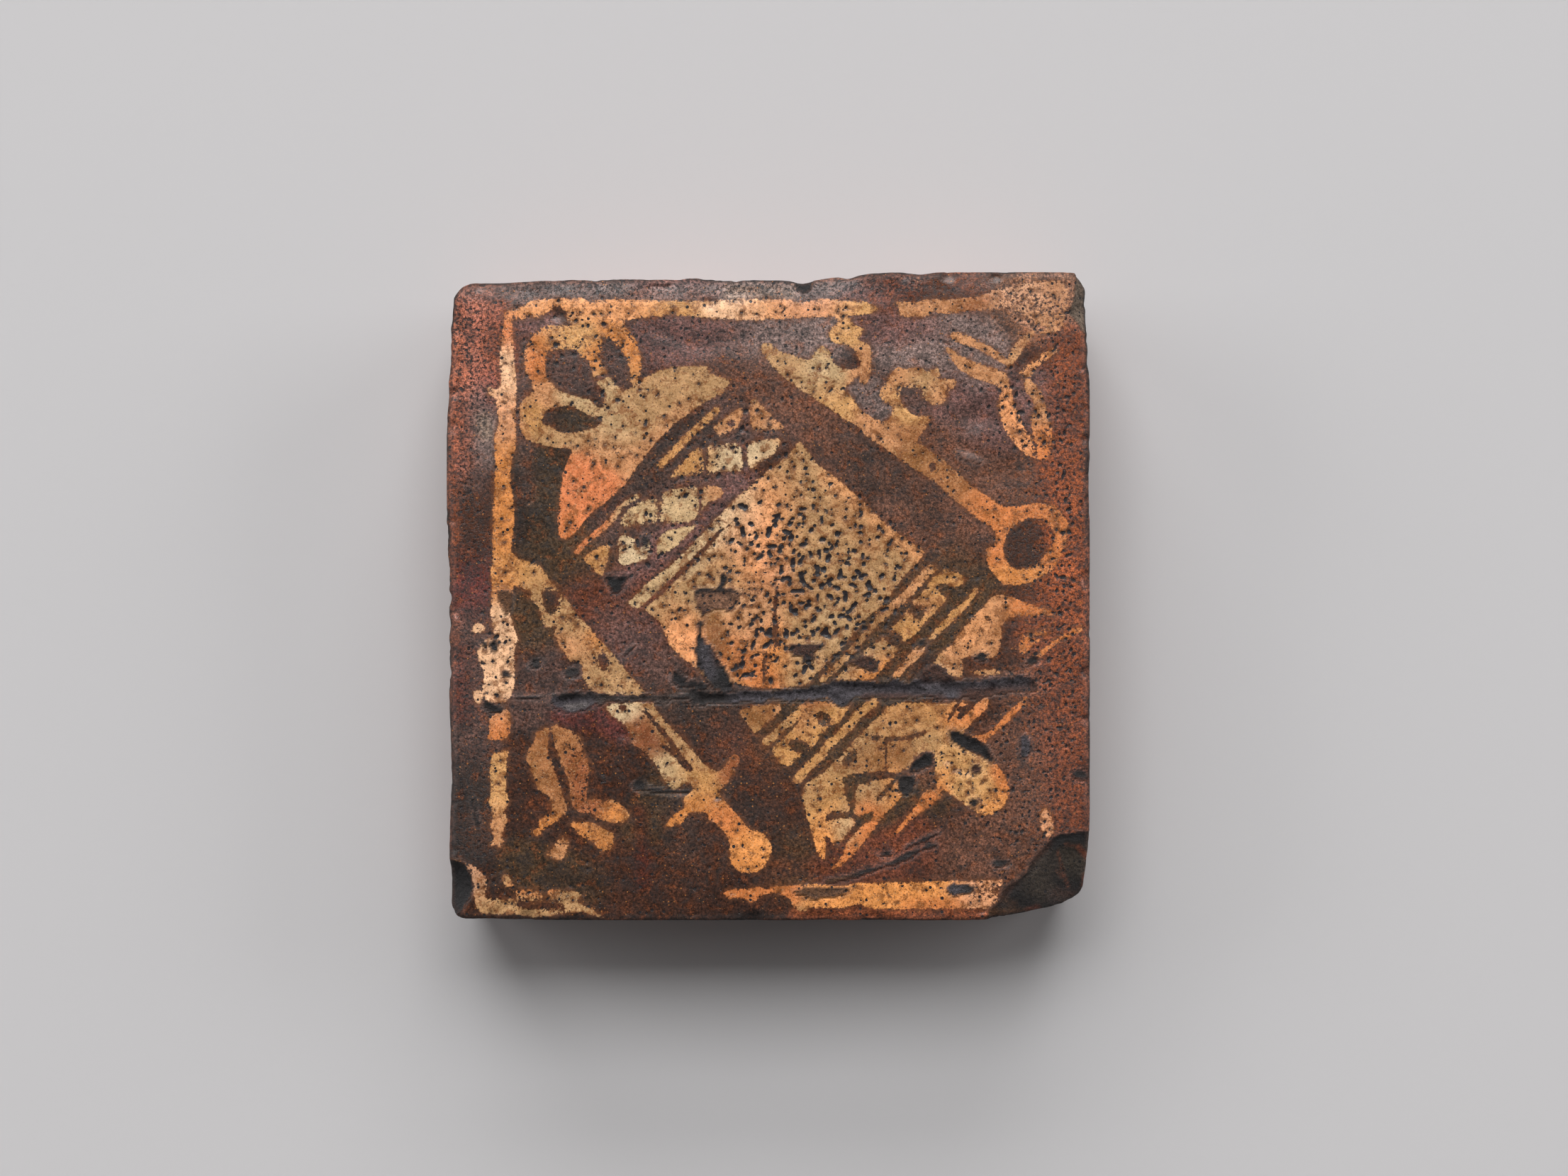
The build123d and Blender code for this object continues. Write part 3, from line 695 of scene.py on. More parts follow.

# %% [markdown]
# Where slip and clay flaked off, a scar has a steep frayed rim and a rough floor. Its outline is given as
# points, as the slip's are.

# %% Scars
# Each scar is its depth and its outline.
SCARS = [
    (0.5, [(-15.4, 0.1), (-14.6, 1.4), (-12.4, 1.8), (-10.9, 1.4), (-9.9, 2.6), (-9.5, 4.3), (-8.9, 4.7),
           (-8.4, 3.2), (-9, 1.7), (-7.2, 1.5), (-5.3, 0.9), (-5.8, -0.5), (-6.5, -2), (-7.8, -3.1),
           (-9.8, -2.6), (-12, -3.1), (-13.4, -3.4), (-14.6, -2)]),
    (0.55, [(-13.7, -3.4), (-14.1, -6), (-14.8, -9.5), (-15, -13), (-13, -16.5), (-11, -18.8),
            (-9, -19.6), (-6.8, -18.9), (-8.3, -15.6), (-10, -13), (-11.4, -10.4), (-12.8, -9.2),
            (-13.4, -6), (-12.9, -3.8)]),
    (0.6, [(-19.6, -15.4), (-18, -15.8), (-16.8, -17.2), (-14, -17.6), (-11.9, -18.4), (-14, -18.9),
           (-17.4, -18.3), (-19.5, -17.4)]),
    (0.4, [(-56.7, -9.6), (-55.9, -8.8), (-54.9, -9.2), (-54.6, -10.6), (-55.3, -11.6), (-56, -11.2)]),
    (0.25, [(-55.2, 1.2), (-53.3, 1.4), (-51.9, 0.4), (-52.3, -2.6), (-53.4, -3.8), (-54.4, -2.4),
            (-55, -0.6)]),
    (0.4, [(-58.2, -9.5), (-57.5, -9.1), (-57.2, -10), (-57.8, -10.6)]),
    (0.4, [(-54.2, -15.6), (-53.2, -15.2), (-52.2, -15.9), (-52.4, -16.8), (-53.6, -16.5)]),
    (0.35, [(4.3, -10.5), (5.5, -9.9), (9.8, -9.6), (11, -10.2), (9.2, -11.7), (9.6, -13.5),
            (8.4, -12.6), (7, -13.8), (6.6, -12.5), (5, -12)]),
    (0.35, [(16.3, -13.6), (18, -12.6), (20.5, -12.2), (22, -12.8), (22.1, -14.2), (21.3, -15.2),
            (19.5, -14.8)]),
    (1.0, [(36.4, -27), (38.6, -27.3), (41.9, -28.8), (44.4, -30.6), (45.8, -33.2), (45, -33.9),
           (43.4, -32.8), (41, -31.6), (38.3, -30.4), (37.1, -28.9)]),
    (0.3, [(5.2, -59.8), (8, -59), (12, -59), (16.5, -58.9), (15.6, -60.3), (12, -61.3), (8.4, -61.2)]),
    (0.35, [(31, -16), (33.9, -14.1), (36.4, -15.7), (37.9, -16.3), (37, -17.4), (31, -17.4)]),
    (0.7, [(-33.2, 4.2), (-31, 4.0), (-28, 4.4), (-28.8, 3.2), (-29.9, 1.4), (-31.4, 0.9), (-32.6, 2.2)]),
    (0.5, [(-58.3, -21.2), (-56.8, -21.6), (-55.2, -22.2), (-54, -23.2), (-55.4, -23.8), (-57.4, -22.8)]),
    (0.8, [(28.6, -35.2), (29.7, -33.2), (31.4, -32.1), (33.5, -32), (33.3, -34), (31, -35.5),
           (29, -35.7)]),
    (0.8, [(26.4, -37.4), (27.2, -36.2), (29, -36.3), (29.8, -37.4), (29.2, -39.5), (27.8, -40.4),
           (26.6, -39.5)]),
    (0.4, [(51.6, -28.4), (52.4, -28.3), (53, -29.6), (53, -31.4), (52.2, -32.8), (51.3, -32.4),
           (51.1, -30.4)]),
    (0.4, [(41.4, -34.6), (42.6, -34), (43.4, -35), (42.8, -36.2), (41.6, -36)]),
    (0.4, [(40.8, -41.4), (41.8, -40.8), (42.8, -41.6), (42.2, -42.8), (41, -42.6)]),
    (0.3, [(36.2, -59.2), (37.4, -58.2), (40, -58.1), (41.8, -58.9), (41, -60.3), (38.6, -60.8),
           (36.6, -60.3)]),
    (0.5, [(41.8, -12.4), (43, -11.4), (44.4, -11.8), (44, -12.8), (42.6, -13)]),
    (0.5, [(52.4, -13.2), (53.6, -12), (55, -12.2), (54.6, -13.4), (53.2, -14)]),
    (0.35, [(61.4, -36.2), (63, -35), (65, -35.6), (65, -37), (63, -37.4)]),
    (0.35, [(22, -52.2), (24, -51.6), (25.4, -52.2), (23.6, -53)]),
    (0.35, [(45.4, -53.8), (47.6, -53.4), (49, -54), (47.4, -54.8), (45.8, -54.8)]),
    (0.4, [(-27.6, -38.2), (-26, -37.2), (-24.6, -38.2), (-25.4, -39.4), (-27, -39.4)]),
    (0.3, [(-48.8, -13.6), (-47.6, -12.4), (-46.2, -13), (-46.6, -14.4), (-48, -14.6)]),
    (0.35, [(-41.4, -15.4), (-39.6, -14.4), (-38.4, -15), (-39, -16.2), (-40.8, -16.4)]),
    (0.4, [(30.1, -9.9), (30.8, -8.8), (31.8, -9.4), (31.4, -10.6), (30.4, -10.8)]),
    (0.4, [(-0.6, 34.9), (0.2, 35.9), (1, 35), (0.4, 34)]),
    (0.4, [(-25.9, 11.2), (-25.2, 12.4), (-24.1, 11.6), (-24.6, 10.2), (-25.6, 10.2)]),
]
scar = np.full(len(face), -FAR)
frayed = 0.3 * unevenness(face, 1.1, 2, 12.0)
rough_floor = 0.8 + 0.5 * unevenness(face, 1.2, 2, 14.0)
for depth, outline in SCARS:
    inward = inside(face, outline) + frayed
    scar = np.maximum(scar, inward)
    dent_depth += depth * ramp(-0.1, 0.7, inward) * rough_floor
covered("the scars", scar)

# %% [markdown]
# Scratches are thin scars that follow a line.

# %% Scratches
# Each scratch is its half width, its depth and its points.
SCRATCHES = [
    (0.45, 0.35, (12, -58), (14.7, -57.4), (17.5, -56.6), (22, -55.2), (25.8, -53.9), (30.6, -51.5),
     (33.7, -50.4)),
    (0.3, 0.3, (28.2, -50.8), (30.9, -49.7), (34.3, -48.1)),
    (0.15, 0.2, (-30.2, -12.7), (-27.3, -10)),
    (0.35, 0.3, (-27, -38.5), (-21, -39.6), (-16.2, -39.6)),
    (0.3, 0.2, (-19, -15.2), (-17.4, -16.6), (-14, -17.6)),
    (0.3, 0.2, (38.8, 28.4), (40.2, 27.6), (43, 27.2)),
    (0.25, 0.2, (-20, -20.6), (-15, -20), (-11, -21.4), (-7, -21)),
    (0.25, 0.2, (-60, -41), (-59, -46)),
    (0.2, 0.2, (-54, -20.4), (-49, -20.4), (-45, -20.8)),
]
frayed = 0.3 * unevenness(face, 2.6, 2, 15.0)
for half_width, depth, *path in SCRATCHES:
    inward = half_width - path_distance(face, path) + frayed
    scar = np.maximum(scar, inward)
    dent_depth += depth * ramp(-0.1, 0.5, inward)
covered("the scars and the scratches", scar)

# %% [markdown]
# ## Pits
# Gas and lime burst through the glaze in the kiln and left pits of 0.5 to 1.5 mm, hundreds of them in the
# bell's waist. They don't overlap, so each takes a place in a jittered grid, and a chance that depends on
# where it is decides whether it is there. The chance is painted with soft strokes, which fade away from a
# line.

# %% Where pits crowd
# Each stroke is x1, y1, x2, y2, reach and chance.
PIT_ZONES = [
    (-2, 8, 18, 4, 9, 0.8), (2, -8, 14, -6, 9, 0.78), (3, 27, 29, 9, 5, 0.55),
    (-24, -1, 3, 27, 4.5, 0.4), (-20, -4, -8, 6, 7, 0.6), (-6, -3, -4, -16, 6, 0.8),
    (-8, 5, 9, -3, 3, 0.92), (13, 18, 20, 11, 3, 0.7), (-1, 24, 2, 15, 3, 0.7), (2, 20, 14, 18, 6, 0.45),
    (-14, 4, -18, 0, 5, 0.5), (-20, 36, -34, 24, 8, 0.3), (-46, 50, -30, 54, 6, 0.4),
    (-47, 36, -36, 34, 5, 0.35), (0, 60, -40, 58, 3, 0.3), (48, 8, 56, 4, 8, 0.35),
    (50, 40, 56, 30, 6, 0.45), (62, 20, 63, 55, 4, 0.5), (38, -35, 44, -41, 5, 0.8),
    (30, -24, 44, -8, 6, 0.3), (-54, -6, -56, -20, 4, 0.4), (-58, -58, -34, -63, 3, 0.5),
    (-28, 8, -4, 34, 7, 0.4), (-34, 45, -8, 30, 9, 0.25), (8, 45, 30, 42, 7, 0.35),
    (-55, 50, -53, 30, 2, 0.4), (54, 60, 60, 56, 5, 0.6), (-38, -6, -28, -18, 6, 0.3),
    (52, -46, 60, -10, 9, 0.6), (60, 0, 62, 50, 6, 0.65), (-62, 50, -62, 0, 4, 0.2),
    (10, -60, 40, -60, 3, 0.2), (24, -8, 36, 2, 4, 0.4),
]
PIT_SPACING = 1.42
JITTER = 0.42
PITTED_HALF = 62
CHANCE_ANYWHERE = 0.07
CHANCE_ON_SLIP = 0.2
draw = np.random.default_rng(SEED + 1)


def stroke(points, x1, y1, x2, y2, reach):
    """Soft stroke along a line: exp(-(distance/reach)^2), which is 1 on the line."""
    return np.exp(-((line_distance(points, (x1, y1), (x2, y2)) / reach) ** 2))


def zone_amount(points, zones, floor=0.0):
    """Strength at each point: that of the strongest stroke, and at least the floor."""
    amount = np.full(len(points), floor)
    for x1, y1, x2, y2, reach, strength in zones:
        amount = np.maximum(amount, strength * stroke(points, x1, y1, x2, y2, reach))
    return amount


spots = np.stack(np.meshgrid(*[np.arange(-PITTED_HALF, PITTED_HALF, PIT_SPACING)] * 2), -1).reshape(-1, 2)
spots += draw.uniform(-JITTER, JITTER, spots.shape) * PIT_SPACING
column, row = np.searchsorted(stations, spots.T)
on_slip = slip.reshape(CELLS + 1, CELLS + 1)[row, column] > 0.3
chance = np.maximum(zone_amount(spots, PIT_ZONES, CHANCE_ANYWHERE), CHANCE_ON_SLIP * on_slip)
spots = spots[draw.random(len(spots)) < chance]
print("pits:", len(spots))

# %% [markdown]
# Each pit is a short bent worm: a line with a knee, and a thickness. In some places they grow larger.

# %% Shapes of the pits
# Each stroke is x1, y1, x2, y2, reach and size.
PIT_SIZES = [
    (54, -46, 60, -6, 9, 0.3), (60, 0, 62, 50, 5, 0.3), (3, 27, 29, 9, 5, 0.4),
    (-57, -5, -54, -20, 4, 0.45), (-28, 8, -4, 34, 7, 0.35), (-4, 14, 6, 12, 6, 1.0),
    (8, 6, 20, 2, 7, 0.85), (2, -8, 14, -6, 8, 0.8), (-6, -14, 6, -15, 5, 0.7), (-16, 4, -6, 6, 4, 0.3),
    (-40, 50, -28, 40, 9, 0.35), (-22, 14, -10, 22, 6, 0.4), (48, 42, 56, 32, 6, 0.35),
]
PIT_REACH = 4
sizes = zone_amount(spots, PIT_SIZES)
pits = np.full(len(face), -FAR)
for (x, y), size in zip(spots, sizes):
    turn = draw.uniform(0, 2 * math.pi)
    bend = turn + draw.uniform(-1.1, 1.1)
    length = draw.random() ** 2 * (0.15 + 0.85 * size)
    thick = draw.uniform(0.2, 0.34) + draw.uniform(0.08, 0.28) * size
    knee = (x + length * math.cos(turn), y + length * math.sin(turn))
    tip = (knee[0] + 0.6 * length * math.cos(bend), knee[1] + 0.6 * length * math.sin(bend))
    close = np.flatnonzero((np.abs(face[:, 0] - x) < PIT_REACH) & (np.abs(face[:, 1] - y) < PIT_REACH))
    pits[close] = np.maximum(pits[close], thick - path_distance(face[close], [(x, y), knee, tip]))
covered("the pits", pits)

# %% [markdown]
# ## The relief of the face
# The material has to know where the glaze is gone. "Broken" is the broken surface itself. "Dulled" reaches
# 0.9 mm past its rim, where the glaze is bruised.

# %% Broken and dulled places
dulled = np.max([ramp(-0.9, 0.0, field) for field in (gouge, chip, scar)], axis=0)
broken = np.max([ramp(-0.1, 0.25, gouge), ramp(-0.1, 0.25, chip), ramp(-0.1, 0.3, scar)], axis=0)
print("broken:", round(100 * broken.mean(), 1), "% of the face, dulled:", round(100 * dulled.mean(), 1), "%")

# %% [markdown]
# Every part of the surface is now known in plan, so the height is a sum: the level of the face, its long
# waves, and each kind of damage taken away from it.

# %% Heights
# The dents and scars above read too deep in a render, so this share of them is taken.
DENT_SHARE = 0.7
PIT_DEPTH = 0.28
MARGIN = 0.02
LOWERED_RIM = 25.0
waves = 0.14 * unevenness(face, 30, 2) + 0.06 * unevenness(face, 7, 2, 5.0)
waves += 0.015 * unevenness(face, 1.6, 1, 8.0)
height = FACE_LEVEL + np.clip(waves, -1, THICKNESS - MARGIN - FACE_LEVEL)
height -= DENT_SHARE * dent_depth
height -= ramp(-0.1, 1.1, gouge) * (0.6 + 0.5 * unevenness(face, 1.9, 3, 2.0)) + 0.12 * ramp(0.0, 0.3, gouge)
height -= PIT_DEPTH * ramp(0.0, 0.35, pits)
# The edge slopes down gently, most along the top, and small chips are out of the arris.
slump = 0.25 + 0.4 * ramp(50, 64, face[:, 1]) * ramp(36, 6, face[:, 0])
slump = slump * (1 + 0.7 * unevenness(face, 6, 2, 23.0))
height -= slump * ramp(9.0, 0.0, inset) ** 2
nibbles = ramp(0.3, 0.7, unevenness(face, 3.1, 2, 21.0)) * ramp(2.2, 1.2, inset)
height -= 0.5 * nibbles
height -= spall_depth
height -= arris_drop
# Where a chip lowers the rim, the rim draws in as the leaning side does.
draw_in = UNDERCUT * np.clip(LOWERED_RIM - height, 0, None) / THICKNESS * ramp(8.0, 0.0, inset)
face[:, :2] *= (1 - draw_in / HALF)[:, None]
face[:, 2] = height
print("face: heights", height.min().round(2), "to", height.max().round(2), "mm")

# %% [markdown]
# ## Sides and bed
# The rim of the face has 1128 points, more than the plain sides need, so a row of triangles joins each
# three of them to one below. From there 376 columns go down to the bed. Each ring is the outline, narrowed
# for its height and tucked in along a quarter circle at the bed's arris.

# %% Rings of the sides
COARSE = CELLS // 3
SIDE_SHARES = np.r_[np.linspace(0.985, 0.06, 17), 0.035, 0.018]
BED_ARRIS = 0.8


def ring(cells):
    """Numbers of a square grid's edge points, anticlockwise from its first corner."""
    n = cells + 1
    i = np.arange(cells)
    return np.concatenate([i, i * n + cells, n * n - 1 - i, (cells - i) * n])


rim = ring(CELLS)
columns = face_square[rim[::3]]
column_top = face[rim[::3], 2]
rings = []
for share in SIDE_SHARES:
    level = share * column_top
    tucked = BED_ARRIS * (1 - np.sqrt(1 - np.clip(1 - level / BED_ARRIS, 0, 1) ** 2))
    scale = narrowing(level) - tucked / HALF
    rings.append(np.c_[to_outline(columns) * scale[:, None], level])
print("sides:", len(rings), "rings of", len(columns), "points")

# %% [markdown]
# The bed was laid on sand while the clay was wet, so it is uneven. It is a coarser grid, flat at its edge
# and hollowed by up to half a millimetre inside, so that it never goes below the floor.

# %% Bed
bed_half = HALF * narrowing(0) - BED_ARRIS
bed_stations = np.r_[-bed_half, np.linspace(-bed_half + 0.8, bed_half - 0.8, COARSE - 1), bed_half]
bed_square = np.stack(np.meshgrid(bed_stations, bed_stations), -1).reshape(-1, 2)
bed = np.c_[to_outline(bed_square / bed_half * HALF) * (bed_half / HALF), np.zeros(len(bed_square))]
bed_inset = bed_half - np.abs(bed_square).max(axis=1)
bed[:, 2] = (0.25 + 0.25 * unevenness(bed, 9, 3, 4.0)) * ramp(0, 2.0, bed_inset)
bed[:, 2] = np.clip(bed[:, 2], 0, None)
points = np.concatenate([face, *rings, bed])
print("bed: hollows up to", bed[:, 2].max().round(2), "mm")

# %% [markdown]
# A knife cut the sides and mortar was knocked off them later, so they are rugged in patches and smooth
# between. The points near the edge move in and out in plan, along the line from the tile's middle. Larger
# bites are out of the corners and the edge.

# %% Worn sides
# Each bite is x, y, reach and depth.
BITES = [
    (62, -66, 5.0, 2.2), (55, -67, 3.0, 0.7), (62, 65, 4.0, 0.3), (-64, 63, 3.0, 0.5), (7, 64, 2.5, 0.4),
    (16.5, 65, 1.6, 0.6), (31, 66, 2.4, 0.5), (-65, -38, 2.0, 0.35), (48, 66, 1.6, 0.5),
    (-65, 60, 3.0, 0.4),
]
edge_nearness = np.r_[ramp(2.2, 0.0, inset), np.ones(len(columns) * len(rings)), ramp(2.5, 0.0, bed_inset)]
outward = points[:, :2] / np.maximum(np.hypot(*points[:, :2].T), 1e-6)[:, None]
ruggedness = 0.12 + 0.3 * ramp(-0.2, 0.5, unevenness(points, 13, 2, 27.0))
side_relief = -0.1 + ruggedness * (unevenness(points, 3.9, 2, 6.0) + 0.4 * unevenness(points, 1.3, 2, 1.0))
points[:, :2] -= outward * (edge_nearness * np.clip(side_relief, -0.4, None))[:, None]
for x, y, reach, depth in BITES:
    near = np.exp(-(np.hypot(points[:, 0] - x, points[:, 1] - y) / reach) ** 2) * edge_nearness
    points[:, :2] -= outward * (depth * near)[:, None]
points[:, :2] = np.clip(points[:, :2], low[:2] + MARGIN, high[:2] - MARGIN)
print("all points:", points.min(0).round(2), "to", points.max(0).round(2), "mm")

# %% [markdown]
# The points become one closed mesh: the face's grid, the row of triangles, bands of squares down the sides,
# and the bed's grid, turned over so that it faces down.

# %% One closed mesh
def grid_faces(cells, first, flip=False):
    """Squares of a grid, each as four point numbers, anticlockwise seen from +Z, or clockwise."""
    n = cells + 1
    corner = (np.arange(cells)[:, None] * n + np.arange(cells)).ravel() + first
    squares = np.c_[corner, corner + 1, corner + n + 1, corner + n]
    return squares[:, ::-1] if flip else squares


def band_faces(upper, lower):
    """Squares between two rings of equally many points."""
    return np.c_[upper, lower, np.roll(lower, -1), np.roll(upper, -1)]


columns_from = len(face) + np.arange(len(rings))[:, None] * len(columns) + np.arange(len(columns))
bed_from = len(face) + len(rings) * len(columns)
all_rings = [*columns_from, bed_from + ring(COARSE)]
below, below_next = all_rings[0], np.roll(all_rings[0], -1)
one, two, three, four = rim[::3], rim[1::3], rim[2::3], np.roll(rim[::3], -1)
fans = np.concatenate([np.c_[one, below, two], np.c_[two, below, below_next], np.c_[two, below_next, three],
                       np.c_[three, below_next, four]])
squares = np.concatenate([grid_faces(CELLS, 0), *[band_faces(a, b) for a, b in zip(all_rings, all_rings[1:])],
                          grid_faces(COARSE, bed_from, flip=True)])
tile_mesh = bpy.data.meshes.new("inlaid_tile")
tile_mesh.from_pydata((points / 1000).tolist(), [], fans.tolist() + squares.tolist())
tile_mesh.polygons.foreach_set("use_smooth", np.ones(len(tile_mesh.polygons), bool))
tile = bpy.data.objects.new("inlaid_tile", tile_mesh)
bpy.context.scene.collection.objects.link(tile)
print("tile:", len(points), "points,", len(fans) + 2 * len(squares), "triangles")

# %% [markdown]
# ## Colours by place
# The kiln's flame and the glaze gave each region its own tone: straw where the slip is clean, orange where
# iron bled into it, olive, plum and rust in the clay between. The tones are laid on with broad soft
# strokes, as a painter would underpaint, and the material breaks them up with finer patterns. Where strokes
# meet, each point takes their average, weighted by how near each one is.

# %% Underpainting
BASE_WEIGHT = 0.05


def linear(code):
    """Linear red, green and blue of a colour in sRGB hex."""
    channels = np.array([int(code[i:i + 2], 16) for i in (1, 3, 5)]) / 255
    return np.where(channels <= 0.04045, channels / 12.92, ((channels + 0.055) / 1.055) ** 2.4)


def painted(tones, base, strokes):
    """Linear colour at each point of the tile: the average of the base tone and of all strokes, each stroke
    weighing exp(-(distance/reach)^2). Each tone has its own list of strokes, and a stroke is x1, y1, x2,
    y2 and reach."""
    weight = np.full(len(points), BASE_WEIGHT)
    paint = np.outer(weight, linear(tones[base]))
    for tone, places in strokes.items():
        for place in places:
            pull = stroke(points, *place)
            weight = weight + pull
            paint = paint + np.outer(pull, linear(tones[tone]))
    return paint / weight[:, None]


print("middle grey in linear light:", linear("#808080").round(3))

# %% [markdown]
# The slip runs from chalk through straw and gold to orange, and to brown where the glaze pooled.

